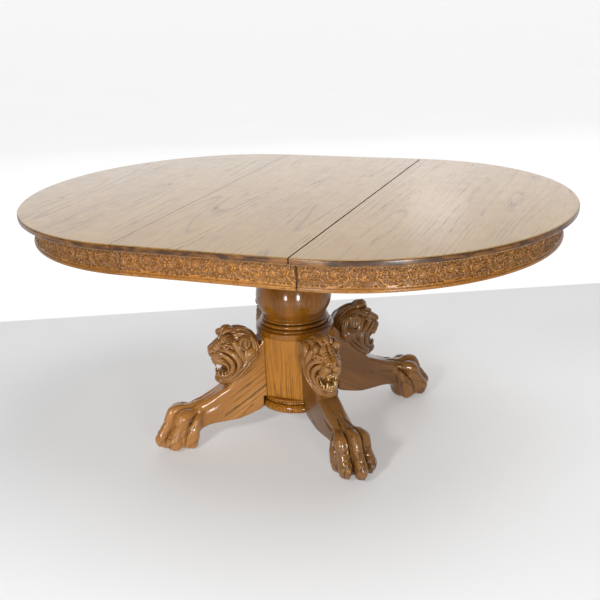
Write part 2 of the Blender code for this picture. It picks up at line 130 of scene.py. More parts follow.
def arc(centre, radius, start, end, steps):
    """Points of an arc, its angles in degrees."""
    angles = np.radians(np.linspace(start, end, steps + 1))
    return [(centre[0] + radius * math.cos(a), centre[1] + radius * math.sin(a)) for a in angles]


def smooth_path(points, steps):
    """Catmull-Rom curve through points."""
    pts = [np.array(p, float) for p in points]
    pts = [2 * pts[0] - pts[1]] + pts + [2 * pts[-1] - pts[-2]]
    curve = []
    for p0, p1, p2, p3 in zip(pts, pts[1:], pts[2:], pts[3:]):
        for t in np.arange(steps) / steps:
            bend = (2 * p0 - 5 * p1 + 4 * p2 - p3) * t ** 2 + (3 * p1 - p0 - 3 * p2 + p3) * t ** 3
            curve.append(0.5 * (2 * p1 + (p2 - p0) * t + bend))
    curve.append(pts[-2])
    return curve


def nearest(places, a, b):
    """How far along from a to b the point nearest to each place lies, 0 to 1, and its distance."""
    ab = b - a
    offs = [p - s for p, s in zip(places, a)]
    t = np.clip(sum(o * d for o, d in zip(offs, ab)) / (ab @ ab), 0, 1)
    return t, np.sqrt(sum((o - t * d) ** 2 for o, d in zip(offs, ab)))


# ---------------------------------------------------------------- material graphs
class Signal:
    """A number flowing through a node tree, written with ordinary arithmetic."""

    def __init__(self, graph, socket):
        self.graph = graph
        self.socket = socket

    def __add__(self, other):
        return self.graph.math("ADD", self, other)

    def __sub__(self, other):
        return self.graph.math("SUBTRACT", self, other)

    def __rsub__(self, other):
        return self.graph.math("SUBTRACT", other, self)

    def __mul__(self, other):
        return self.graph.math("MULTIPLY", self, other)

    def __truediv__(self, other):
        return self.graph.math("DIVIDE", self, other)

    __radd__ = __add__
    __rmul__ = __mul__

    def __abs__(self):
        return self.graph.math("ABSOLUTE", self)

    def rise(self, low, high):
        """0 below low, 1 above high, smooth between; low may be the higher of the two."""
        node = self.graph.node("MapRange", {"Value": self, "From Min": low, "From Max": high})
        node.interpolation_type = "SMOOTHSTEP"
        return Signal(self.graph, node.outputs["Result"])


class Graph:
    """The node tree of a material or a world, and short ways to add to it."""

    def __init__(self, owner, shader="Principled BSDF", coordinates="Object"):
        owner.use_nodes = True
        self.owner = owner
        self.tree = owner.node_tree
        self.shader = self.tree.nodes[shader]
        self.place = self.split(self.node("TexCoord", {}).outputs[coordinates])

    def plug(self, value, socket):
        if isinstance(value, Signal):
            value = value.socket
        if isinstance(value, bpy.types.NodeSocket):
            self.tree.links.new(value, socket)
        elif isinstance(value, tuple):
            socket.default_value = (*value, 1.0)
        else:
            socket.default_value = value

    def node(self, kind, inputs, **settings):
        node = self.tree.nodes.new("ShaderNode" + kind)
        for key, value in settings.items():
            setattr(node, key, value)
        for key, value in inputs.items():
            self.plug(value, node.inputs[key])
        return node

    def split(self, vector):
        return [Signal(self, s) for s in self.node("SeparateXYZ", {0: vector}).outputs]

    def math(self, operation, *values):
        return Signal(self, self.node("Math", dict(enumerate(values)), operation=operation).outputs[0])

    def noise(self, x, y, z, detail=2.0, rough=0.5, distortion=0.0):
        where = self.node("CombineXYZ", {0: x, 1: y, 2: z}).outputs[0]
        node = self.node("TexNoise", {"Vector": where, "Scale": 1.0, "Detail": detail, "Roughness": rough,
            "Distortion": distortion})
        return Signal(self, node.outputs[0])

    def blend(self, amount, a, b):
        """Colour a where the amount is 0, and b where it is 1."""
        return self.node("Mix", {0: amount, 6: a, 7: b}, data_type="RGBA").outputs[2]

    def geometry(self, output):
        return self.node("NewGeometry", {}).outputs[output]

    def bump(self, height, distance, strength=1.0):
        return self.node("Bump", {"Height": height, "Distance": distance, "Strength": strength}).outputs[0]

    def finish(self, **sockets):
        for key, value in sockets.items():
            self.plug(value, self.shader.inputs[key.replace("_", " ")])
        return self.owner


def material_graph(name):
    return Graph(bpy.data.materials.new(name))


# ---------------------------------------------------------------- wood
PORES_ACROSS = 750.0     # pores to a metre, across the grain and along it
PORES_ALONG = 24.0
RING_BUNDLE = 0.11       # depth at which the pattern of the rings starts again
GRAIN_TURN = 23.4        # degrees that the column's glue lines are turned from the frame's axes
LEG_GRAIN = 31.0         # slope of the legs' grain, in degrees below level
GLINT_COLOUR = (0.78, 0.52, 0.20)


def dim(colour, share):
    """A colour made darker, or lighter up to full."""
    return tuple(min(1.0, share * c) for c in colour)


# Colours made lighter or darker by a share: painted light and shade on copies of one wood.
def painted_light_copy(colours, share):
    return [dim(colour, share) for colour in colours]


def grain(g, across, along, depth, board, ring=0.0062, seed=0.0, slope=0.055, waver=1.0, band=0.45,
        patchy=0.7):
    """Plain-sawn wood: (dark part of the rings, pore streaks, tone of the board), each 0 to 1. board and
    ring are widths, and band is the dark share of a ring."""
    index = g.math("FLOOR", across / board + seed)
    pick, tilt, tone = g.split(g.node("TexWhiteNoise", {"W": index + seed * 7.3},
        noise_dimensions="1D").outputs["Color"])
    inside = across - (index + 0.5 - seed) * board
    shifted = along + pick * 9.0
    lean = (tilt - 0.5) * (2 * slope)
    sway = (g.noise(index * 3.1 + inside * 4, shifted * 1.3, depth * 4) - 0.5) * (0.070 * waver)
    heart = (g.noise(index * 5.7, shifted * 0.9, 0.0, detail=1.0) - 0.5) * (0.060 * waver)
    level = depth + 0.030 + tilt * 0.030 + shifted * lean + sway
    level = level - g.math("FLOOR", level / RING_BUNDLE) * RING_BUNDLE
    offset = inside - (pick - 0.5) * (board * 0.6) + heart
    radius = g.math("SQRT", offset * offset + level * level)
    uneven = g.noise(radius * (0.8 / ring), index, 0.0) * (ring * 1.6)
    ragged = g.noise(across * 260, along * 11, depth * 260, detail=3.0, rough=0.6) * (ring * 0.55)
    phase = g.math("FRACT", (radius + uneven + ragged) / ring)
    strong = g.noise(across * 8, along * 3.0, depth * 8).rise(0.36, 0.68) * patchy + (1.0 - patchy)
    early = phase.rise(0.0, 0.10) * phase.rise(band + 0.22, band * 0.5) * strong
    streak = g.noise(across * PORES_ACROSS, along * PORES_ALONG, depth * PORES_ACROSS, detail=1.0)
    pores = streak.rise(0.50, 0.62) * (early * 0.8 + 0.2)
    return early, pores, tone


def oak(name, mapping, colours, coat=0.6, rough=0.38, coat_rough=0.06, figure=0.35, bump=0.00012, spec=0.15,
        recess=None, edge=None, mottle=0.0, wear_and_highlight=0.0, painted_glint=None, **cut):
    """Varnished oak. mapping gives (across, along, depth) and cut says how the boards were sawn; recess
    gives where dark stain and painted shade collect, edge the colours of the rim, and the teeth mask where
    a painted glint goes. mottle is a share of dark flecks, and the share for the high places lightens
    them: stain rubbed off and a painted highlight."""
    light, middle, dark = colours
    g = material_graph(name)
    across, along, depth = mapping(g)
    early, pores, tone = grain(g, across, along, depth, **cut)
    cloud = g.noise(across * 9, along * 2.5, depth * 9, detail=3.0)
    base = g.blend(cloud.rise(0.30, 0.72) * 0.6 + tone * 0.4, middle, light)
    base = g.blend(early * figure, base, dark)
    base = g.blend(pores * 0.65, base, dim(dark, 0.45))
    if mottle:
        fine = g.noise(across * 170, along * 170, depth * 170, detail=3.0, rough=0.65).rise(0.46, 0.60)
        broad = g.noise(across * 30, along * 30, depth * 30).rise(0.36, 0.62) * 0.6 + 0.4
        base = g.blend(fine * broad * mottle, base, dim(dark, 0.9))
    if edge:
        bright, deep = edge
        patch = g.noise(across * 20, along * 20, depth * 50, detail=4.0, rough=0.6)
        lines = g.noise(across * 12, along * 12, depth * 420).rise(0.48, 0.66)
        sawn = g.blend(lines * 0.5, g.blend(patch.rise(0.38, 0.66), deep, bright), dim(deep, 0.4))
        upright = abs(g.split(g.geometry("Normal"))[2]).rise(0.80, 0.45)
        base = g.blend(upright, base, sawn)
    # dark stain and painted shade in the hollows
    if recess:
        base = g.blend(recess(g), base, dim(dark, 0.35))
    # the high places lighter: stain rubbed off, and a painted highlight
    if wear_and_highlight:
        base = g.blend(pointiness(g, 0.515, 0.58) * wear_and_highlight, base, dim(light, 1.45))
    # a painted glint of light on the teeth
    if painted_glint:
        base = g.blend(painted_glint(g), base, GLINT_COLOUR)
    smear = g.noise(across * 22, along * 22, depth * 22)
    ripple = g.noise(across * 14, along * 9, depth * 14, detail=1.0)
    return g.finish(Base_Color=base, Roughness=smear * 0.16 + (rough - 0.08) + pores * 0.15,
        Normal=g.bump(1.0 - (pores * 0.8 + early * 0.25), bump), Coat_Weight=coat, Specular_IOR_Level=spec,
        Coat_Roughness=coat_rough, Coat_Normal=g.bump(ripple, 0.0012, 0.5))


def along_y(g):
    return g.place


def along_x(g):
    x, y, z = g.place
    return y, x, z


def upright_staves(g):
    """Upright boards glued side by side, the glue lines turned round the column."""
    x, y, z = g.place
    c, s = math.cos(math.radians(GRAIN_TURN)), math.sin(math.radians(GRAIN_TURN))
    return x * c + y * s, z, y * c - x * s


def along_leg(g):
    """Grain that runs down a leg from the column to the paw, sawn on its sides."""
    x, y, z = g.place
    c, s = math.cos(math.radians(LEG_GRAIN)), math.sin(math.radians(LEG_GRAIN))
    return x * s + z * c, x * c - z * s, y


def along_apron(sign):
    """Grain that runs round the curved apron at +X or -X, or straight when sign is 0."""
    def mapping(g):
        x, y, z = g.place
        angle = g.math("ARCTAN2", y, (x - sign * SEAM_X) * sign)
        return z, angle * APRON_FACE, 0.0
    return mapping if sign else along_x


def apron_depth(sign):
    """How dark the ground of an apron's carving is, dark stain and painted shade, from how far it is sunk
    below the carved face; the plain border below the carving is darker too.
    """
    def recess(g):
        x, y, z = g.place
        if sign:
            off = (x - sign * SEAM_X) * sign
            face = g.math("SQRT", off * off + y * y)
        else:
            face = abs(y)
        blotch = g.noise(x * 60, y * 60, z * 60) * 0.0006
        # the deeper the ground, the darker: dark stain and painted shade
        sunk = (APRON_FACE - face + blotch).rise(0.0003, RELIEF_DEPTH * 0.8)
        border = (z - (APRON_LOW.z + RELIEF_LOW)).rise(0.001, -0.001)
        return g.math("MAXIMUM", sunk * 0.68, border * 0.32)
    return recess


def pointiness(g, low, high):
    return Signal(g, g.geometry("Pointiness")).rise(low, high)


def crevices(low, high, strength):
    """Dark stain and painted shade in the hollows of a carving."""
    return lambda g: pointiness(g, low, high) * strength


def teeth(g):
    """Where a lion's teeth stand out in its open mouth: where a painted glint goes."""
    x, y, z = g.place
    mouth = x.rise(0.2420, 0.2480) * abs(y).rise(0.0290, 0.0250)
    mouth = mouth * z.rise(0.2165, 0.2195) * z.rise(0.2680, 0.2640) * x.rise(0.2900, 0.2860)
    return mouth * pointiness(g, 0.500, 0.560)


# How much each leg, and the head that sits on it, is lightened or darkened: painted light and shade, for
# how brightly each corner is lit.
PAINTED_LIGHT_BY_CORNER = {"front_left": (0.80, 0.56), "front_right": (0.42, 0.56), "back_right": (0.50, 0.40),
    "back_left": (0.60, 0.50)}
GLINTING_TEETH = "front_right"      # painted glint: only the nearest lion's teeth catch the light in the photo


def make_materials():
    # each wood is light, middle and dark; the rim is bright and deep
    golden = ((0.42, 0.170, 0.016), (0.30, 0.108, 0.009), (0.080, 0.025, 0.005))
    umber = ((0.370, 0.138, 0.010), (0.062, 0.018, 0.002), (0.014, 0.005, 0.001))
    brown = ((0.62, 0.285, 0.070), (0.285, 0.102, 0.017), (0.050, 0.015, 0.004))
    top = ((0.395, 0.238, 0.078), (0.325, 0.182, 0.055), (0.130, 0.074, 0.036))
    rim = ((0.205, 0.080, 0.014), (0.048, 0.019, 0.006))
    apron = ((0.63, 0.275, 0.046), (0.41, 0.155, 0.023), (0.135, 0.052, 0.012))
    column = dict(spec=0.1, rough=0.34, board=0.110, slope=0.03)
    lion = dict(coat=0.75, coat_rough=0.13, board=0.30, ring=0.0190, band=0.10, waver=2.2, patchy=0.95)
    materials = {
        "top": oak("polished_oak_top", along_y, top, coat=0.5, rough=0.36, coat_rough=0.22, figure=0.45,
            bump=0.00008, spec=0.2, edge=rim, board=0.127, ring=0.0150, seed=0.31, band=0.20, patchy=0.85),
        "column": oak("golden_oak_column", upright_staves, golden, figure=0.42, ring=0.0050,
            recess=crevices(0.495, 0.43, 0.7), **column),
        "turned": oak("dark_oak_turnings", upright_staves, umber, coat_rough=0.11, figure=0.50, ring=0.0070,
            recess=crevices(0.499, 0.46, 0.9), **column),
        "slide": plain_wood("maple_slides", along_x, (0.52, 0.36, 0.19), (0.40, 0.26, 0.13)),
        "board": plain_wood("unfinished_oak", along_y, (0.42, 0.28, 0.14), (0.26, 0.16, 0.075)),
        "dowel": plain_wood("birch_dowels", along_x, (0.62, 0.47, 0.28), (0.50, 0.36, 0.20)),
        "steel": dull_steel(),
    }
    # the side aprons are darker copies of the same colours: painted shade
    for part, sign, shade in (("leaf", 0, 1.0), ("left", -1, 0.80), ("right", 1, 0.95)):
        materials["apron_" + part] = oak(f"carved_oak_{part}_apron", along_apron(sign),
            painted_light_copy(apron, shade), coat=0.45, coat_rough=0.26, recess=apron_depth(sign), mottle=0.65,
            board=0.35, seed=0.5)
    for i, (corner, (leg_painted_light, head_painted_light)) in enumerate(PAINTED_LIGHT_BY_CORNER.items()):
        cut = dict(lion, seed=0.4 + 1.7 * i)      # so that no two legs show the same grain
        # each leg and head is a lighter or darker copy of the same brown: painted light and shade
        materials["leg_" + corner] = oak(f"oak_leg_{corner}", along_leg, painted_light_copy(brown, leg_painted_light),
            figure=0.80, recess=crevices(0.494, 0.450, 0.9), wear_and_highlight=0.5, slope=0.10, **cut)
        # only the nearest lion's teeth get a painted glint
        painted_glint = teeth if corner == GLINTING_TEETH else None
        materials["head_" + corner] = oak(f"carved_oak_head_{corner}", along_leg,
            painted_light_copy(brown, head_painted_light), recess=crevices(0.500, 0.450, 0.97), wear_and_highlight=0.6, painted_glint=painted_glint, **cut)
    return materials


def plain_wood(name, mapping, light, dark):
    """Unvarnished wood: fine straight grain, a dull surface and some handling marks."""
    g = material_graph(name)
    across, along, depth = mapping(g)
    line = g.noise(across * 320, along * 5, depth * 320, detail=4.0, rough=0.65)
    band = g.noise(across * 40, along * 1.6, depth * 40, distortion=0.6)
    stain = g.noise(across * 12, along * 7, depth * 12, detail=3.0)
    base = g.blend(line.rise(0.35, 0.70) * 0.5 + band.rise(0.3, 0.7) * 0.5, dark, light)
    base = g.blend(stain.rise(0.55, 0.80) * 0.35, base, dim(dark, 0.4))
    return g.finish(Base_Color=base, Roughness=0.72 - line * 0.18, Normal=g.bump(line, 0.00015))


def dull_steel():
    g = material_graph("dull_steel")
    x, y, z = g.place
    grit = g.noise(x * 900, y * 900, z * 900, detail=3.0)
    rust = g.noise(x * 120, y * 120, z * 120, detail=4.0).rise(0.55, 0.72)
    base = g.blend(grit.rise(0.3, 0.7), (0.30, 0.29, 0.28), (0.46, 0.45, 0.44))
    base = g.blend(rust * 0.6, base, (0.16, 0.075, 0.035))
    return g.finish(Base_Color=base, Metallic=1.0 - rust * 0.7, Roughness=grit * 0.3 + 0.3 + rust * 0.25,
        Normal=g.bump(grit, 0.0001))


# ---------------------------------------------------------------- table top
RIM_STEPS = 240           # round half a circle


def rim_profile():
    """Inward offset and height of the rounded rim, from the upper face to the lower."""
    return (arc((TOP_EDGE, HEIGHT - TOP_EDGE), TOP_EDGE, 90, 180, 8)
        + arc((TOP_EDGE, UNDER_TOP + TOP_EDGE), TOP_EDGE, 180, 270, 8))


def half_top_mesh(sign):
    sections = []
    for inset, z in rim_profile():
        seam = SEAM_X + SEAM_EDGE * inset / TOP_EDGE
        radius = TOP_RADIUS - inset
        ring = []
        for angle in np.radians(np.linspace(-90, 90, RIM_STEPS + 1)):
            x = max(SEAM_X + radius * math.cos(angle), seam)
            ring.append((sign * x, sign * radius * math.sin(angle), z))
        sections.append(ring)
    return loft("half_top", sections)


def leaf_top_mesh():
    """The leaf: both long ends rounded, both seams eased."""
    front = [(inset - TOP_RADIUS, z) for inset, z in rim_profile()]
    outline = front + [(-y, z) for y, z in reversed(front)]
    eased = [(y * (1 - SEAM_EDGE / TOP_RADIUS), z + math.copysign(SEAM_EDGE, UNDER_TOP + HEIGHT - 2 * z))
        for y, z in outline]
    low, high = LEAF_LOW.x, LEAF_HIGH.x
    rows = [(x, outline) for x in np.linspace(low + SEAM_EDGE, high - SEAM_EDGE, 12)]
    rows = [(low, eased)] + rows + [(high, eased)]
    return loft("leaf_top", [[(x, y, z) for y, z in line] for x, line in rows])


def pin_room(pin):
    """A box round a pin, open below the top, to be cut out of the leaf."""
    low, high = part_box(pin)
    front, back = low.y - PIN_ROOM, high.y + PIN_ROOM
    bottom, top = UNDER_TOP - 0.01, high.z + PIN_ROOM
    outline = [(front, bottom), (back, bottom), (back, top), (front, top)]
    sections = [[(x, y, z) for y, z in outline] for x in (low.x - PIN_ROOM, high.x + PIN_ROOM)]
    return new_object("pin_room", loft("pin_room", sections))


def cut_out(piece, cutters):
    """Take boxes out of a piece, and remove the boxes."""
    for cutter in cutters:
        boolean = piece.modifiers.new("notch", "BOOLEAN")
        boolean.operation = "DIFFERENCE"
        boolean.object = cutter
    bpy.context.view_layer.update()
    shape = bpy.data.meshes.new_from_object(piece.evaluated_get(bpy.context.evaluated_depsgraph_get()))
    piece.modifiers.clear()
    piece.data = shape
    for cutter in cutters:
        bpy.data.objects.remove(cutter, do_unlink=True)


def build_top(materials):
    oak_top = materials["top"]
    for side, sign in SIDES:
        half = f"{side}_half"
        add_piece(f"{side}_top_board", half_top_mesh(sign), oak_top, half, f"{half}_top")
    leaf = add_piece("leaf_board", leaf_top_mesh(), oak_top, "leaf", "leaf_top")
    cut_out(leaf, [pin_room(f"{side}_pin_{row}") for side in ("left", "right")
        for row in ("front", "middle", "back")])


# ---------------------------------------------------------------- carved aprons
RELIEF_LOW = 0.0150       # the carved band starts this far above the apron's lower edge
RELIEF_HIGH = 0.0740
RELIEF_TALL = RELIEF_HIGH - RELIEF_LOW
RELIEF_DEPTH = 0.0026
RELIEF_LENGTH = 0.0735    # of one scroll; the next one is upside down
RELIEF_CELL = 0.0007      # of the drawing of a scroll
RELIEF_STEP = 0.0013      # between the aprons' points, along and then up
RELIEF_RISE = 0.00125
RELIEF_FADE = 0.0012      # width over which the carving fades out at its upper and lower edge
CURL_RADIUS = 0.0185


class Relief:
    """Heights of one scroll of the carving, over (along, up), built from rounded strokes."""

    def __init__(self):
        self.u = np.arange(0, RELIEF_LENGTH, RELIEF_CELL)[:, None]
        self.v = np.arange(0, RELIEF_TALL, RELIEF_CELL)[None, :]
        self.height = np.zeros((self.u.size, self.v.size))

    def stroke(self, points, widths, tall=1.0):
        """A rounded bar through points, with a half width at each; it wraps round the scroll's ends."""
        pts = [np.array(p, float) for p in points]
        widths = np.broadcast_to(widths, len(pts))
        for shift in (-RELIEF_LENGTH, 0.0, RELIEF_LENGTH):
            for a, b, wa, wb in zip(pts, pts[1:], widths, widths[1:]):
                t, gap = nearest((self.u - shift, self.v), a, b)
                dome = np.sqrt(np.clip(1 - (gap / (wa + (wb - wa) * t)) ** 2, 0, 1)) * tall
                self.height = np.maximum(self.height, dome)

    def groove(self, points, width, deep):
        before = self.height
        self.height = np.zeros_like(before)
        self.stroke(points, width)
        self.height = np.maximum(before - deep * self.height, 0.0)


def away(start, heading, far):
    """The point this far from another, at a heading in degrees."""
    angle = math.radians(heading)
    return start[0] + far * math.cos(angle), start[1] + far * math.sin(angle)


def acanthus(art, root, start, end, reach, half):
    """A pointed leaf that bends from one heading to another, with a vein down its middle and two beside."""
    elbow = away(root, start, reach * 0.55)
    path = smooth_path([root, elbow, away(elbow, end, reach * 0.55)], 5)
    art.stroke(path, half * np.sin(np.linspace(0.45, 2.95, len(path))) + 0.0004, 0.95)
    art.groove(path[1:-1], 0.0009, 0.85)
    for side in (-90, 90):
        art.groove([away(p, start + side, 0.45 * half) for p in path[2:-3]], 0.0007, 0.60)


def scroll_relief():
    """One scroll of running foliage: a waving stem, a curled branch with leaves, and a rosette."""
    art = Relief()
    middle = RELIEF_TALL / 2
    eye = (RELIEF_LENGTH * 0.50, middle - 0.0030)
    # curled branch, from the stem round the eye and in
    curl = [away(eye, 200 - 400 * part, CURL_RADIUS * (1 - 0.55 * part)) for part in np.linspace(0, 1, 30)]
    art.stroke(curl, np.linspace(0.0034, 0.0024, 30), 0.85)
    art.groove(curl[2:-2], 0.0009, 0.55)
    # rosette in the eye
    for k in range(7):
        facing = 51.4 * k + 15
        tip = away(eye, facing, 0.0078)
        art.stroke([eye, tip], [0.0014, 0.0034], 0.9)
        art.groove([away(eye, facing, 0.0039), tip], 0.0008, 0.7)
    art.stroke([eye, (eye[0] + 1e-4, eye[1])], 0.0024, 1.1)
    # broad veined leaves that spring from the outside of the curl
    for k in range(11):
        facing = 225 - 33 * k
        reach = 0.0185 + 0.0030 * math.cos(3 * math.radians(facing))
        acanthus(art, away(eye, facing, CURL_RADIUS), facing, facing - 42, reach, 0.0047)
    # stem that carries on into the next scroll
    stem = [(-0.006, -0.003), (0.004, 0.012), (0.016, 0.0245), (0.034, 0.027), (0.056, 0.0225),
        (0.070, 0.008), (RELIEF_LENGTH + 0.006, -0.004)]
    art.stroke(smooth_path([(u, middle + v) for u, v in stem], 6), 0.0026, 0.85)
    # leaves that fan out of the corners
    for base, leans in (((-0.002, 0.0020), (15, 42, 68, 95, 122)),
            ((0.0715, RELIEF_TALL - 0.0020), (190, 215, 240, 265))):
        for lean in leans:
            acanthus(art, base, lean, lean + 18, 0.0180, 0.0038)
    return art.height


def relief_height(art, along, up):
    """Height of the carving, 0 at its ground and 1 at the apron's face, at places along and up."""
    count_u, count_v = art.shape
    turned_over = math.floor(along / RELIEF_LENGTH) % 2 == 1
    u = (along / RELIEF_LENGTH) % 1.0 * count_u
    v = np.clip((up - RELIEF_LOW) / RELIEF_TALL, 0, 1)
    v = (1 - v if turned_over else v) * (count_v - 1)
    u0, v0 = math.floor(u) % count_u, np.clip(np.floor(v).astype(int), 0, count_v - 2)
    fu, fv = u - math.floor(u), v - v0
    row = art[u0] * (1 - fu) + art[(u0 + 1) % count_u] * fu
    return row[v0] * (1 - fv) + row[v0 + 1] * fv


def apron_sections(length, place, art, phase):
    """Sections of an apron along its length. place(along, out, up) gives a point."""
    height = APRON_HIGH.z - APRON_LOW.z
    bead = [(APRON_BEAD_PROUD * math.sin(a), APRON_BEAD * (1 - math.cos(a)) / 2)
        for a in np.linspace(0, math.pi, 9)]
    frieze = np.arange(RELIEF_LOW - 0.0008, RELIEF_HIGH + 0.0012, RELIEF_RISE)
    edge = np.clip(np.minimum(frieze - RELIEF_LOW, RELIEF_HIGH - frieze) / RELIEF_FADE, 0, 1)
    stations = np.linspace(0, length, int(length / RELIEF_STEP) + 1)
    dimples = np.random.default_rng(5).uniform(-0.16, 0.10, (len(stations), len(frieze)))
    sections = []
    for i, along in enumerate(stations):
        carved = relief_height(art, along + phase, frieze)
        ground = np.where(carved < 0.05, dimples[i], 0.0)     # only the ground is pebbled
        out = -RELIEF_DEPTH * edge * (1 - np.clip(carved + ground, -0.3, 1.0))
        eased = max(0.0, 1 - min(i, len(stations) - 1 - i) / 2) * APRON_EASE
        front = [(o - eased, v) for o, v in [*bead, *zip(out, frieze), (0.0, height)]]
        back = [(-APRON_THICK, height), (-APRON_THICK, 0)]
        sections.append([place(along, o, v) for o, v in front + back])
    return sections


def build_aprons(materials):
    art = scroll_relief()
    foot = APRON_LOW.z
    low, high = LEAF_LOW.x, LEAF_HIGH.x
    for side, sign in SIDES:
        def bent(along, out, up):
            angle = along / APRON_FACE - math.pi / 2
            radius = APRON_FACE + out
            return sign * (SEAM_X + radius * math.cos(angle)), sign * radius * math.sin(angle), foot + up

        half = f"{side}_half"
        mesh = loft("half_apron", apron_sections(math.pi * APRON_FACE, bent, art, 0.012))
        add_piece(f"{side}_carved_apron", mesh, materials["apron_" + side], half,
            f"{half}_apron")
    for row, sign in (("front", -1), ("back", 1)):
        def straight(along, out, up):
            return low + along if sign < 0 else high - along, sign * (APRON_FACE + out), foot + up

        mesh = loft("leaf_apron", apron_sections(high - low, straight, art, 0.030))
        add_piece(f"leaf_carved_apron_{row}", mesh, materials["apron_leaf"], "leaf",
            f"leaf_apron_{row}")


# ---------------------------------------------------------------- turned column
# Each profile is a list of (radius, height) in millimetres, for a part this tall.
def base_ring_profile(tall):
    bead = arc((118, 16), 14.5, -88, 84, 20)
    step = arc((126, 38.5), 5.5, 205, 92, 8)
    return [(113, 0), (114, 0.8), *bead, (120, 32), *step, (126.2, tall - 4.5), (126.2, tall - 1),
        (125.2, tall)]


def collar_profile(tall):
    band = smooth_path([(121.5, 0.4), (125, 2), (126.2, 5.2), (126.2, tall - 37.5), (124.8, tall - 34.8),
        (121.5, tall - 33.2)], 4)
    cove = arc((119.5, tall - 29), 4.8, 245, 140, 8)
    torus = arc((105.2, tall - 18), 6.4, -78, 78, 14)
    small = arc((103, tall - 5.2), 3.4, -70, 80, 8)
    return [*band, *cove, *torus, *small, (102, tall)]


def urn_profile(tall):
    belly = smooth_path([(100, 0), (101.2, 6), (108, 16.5), (114.5, 28.5), (119, 41.5), (121, 55.5),
        (120.5, 70.5), (118, 88.5), (113, 110.5), (105, 135.5), (96, 160.5), (89, 185.5), (86, 208.5),
        (87, 226.5), (93, 243.5), (105, 258.5), (111.2, 264)], 4)
    return [*belly, (112, tall - 24), (112, tall - 1), (111, tall)]


def turned_mesh(name, profile, steps=192):
    """Spin a profile round the Z axis, at the height of its CAD node, with the bore left open."""
    low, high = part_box(name)
    tall = (high.z - low.z) / MM
    bore = BORE_RADIUS / MM
    outline = [(bore, 0), *profile(tall), (bore, tall)]
    sections = []
    for angle in 2 * np.pi * np.arange(steps) / steps:
        c, s = MM * math.cos(angle), MM * math.sin(angle)
        sections.append([(r * c, r * s, low.z + MM * z) for r, z in outline])
    return loft(name, sections, closed=True, sharp=28)


def shaft_mesh():
    """The eight-sided shaft, its corners eased."""
    low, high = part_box("pedestal_shaft")
    a, b = high.x, SHAFT_FACE
    corners = [Vector(c) for c in ((a, -b), (a, b), (b, a), (-b, a), (-a, b), (-a, -b), (-b, -a), (b, -a))]
    outline = []
    for k, here in enumerate(corners):
        start = here + (corners[k - 1] - here).normalized() * SHAFT_EASE
        end = here + (corners[(k + 1) % 8] - here).normalized() * SHAFT_EASE
        for t in np.linspace(0, 1, 4):
            outline.append(start.lerp(here, t).lerp(here.lerp(end, t), t))
    # a share of the full width at each height: the ends are eased too
    levels = ((0.994, low.z), (1.0, low.z + SEAM_EDGE), (1.0, high.z - SEAM_EDGE), (0.994, high.z))
    return loft("shaft", [[(p.x * share, p.y * share, z) for p in outline] for share, z in levels])


def build_column(materials):
    turned = {"base_ring": base_ring_profile, "collar": collar_profile, "urn": urn_profile}
    for part, profile in turned.items():
        node = "pedestal_" + part
        mesh = turned_mesh(node, profile)
        add_piece("turned_" + part, mesh, materials["turned"], "pedestal", node)
    add_piece("eight_sided_shaft", shaft_mesh(), materials["column"], "pedestal",
        "pedestal_shaft")


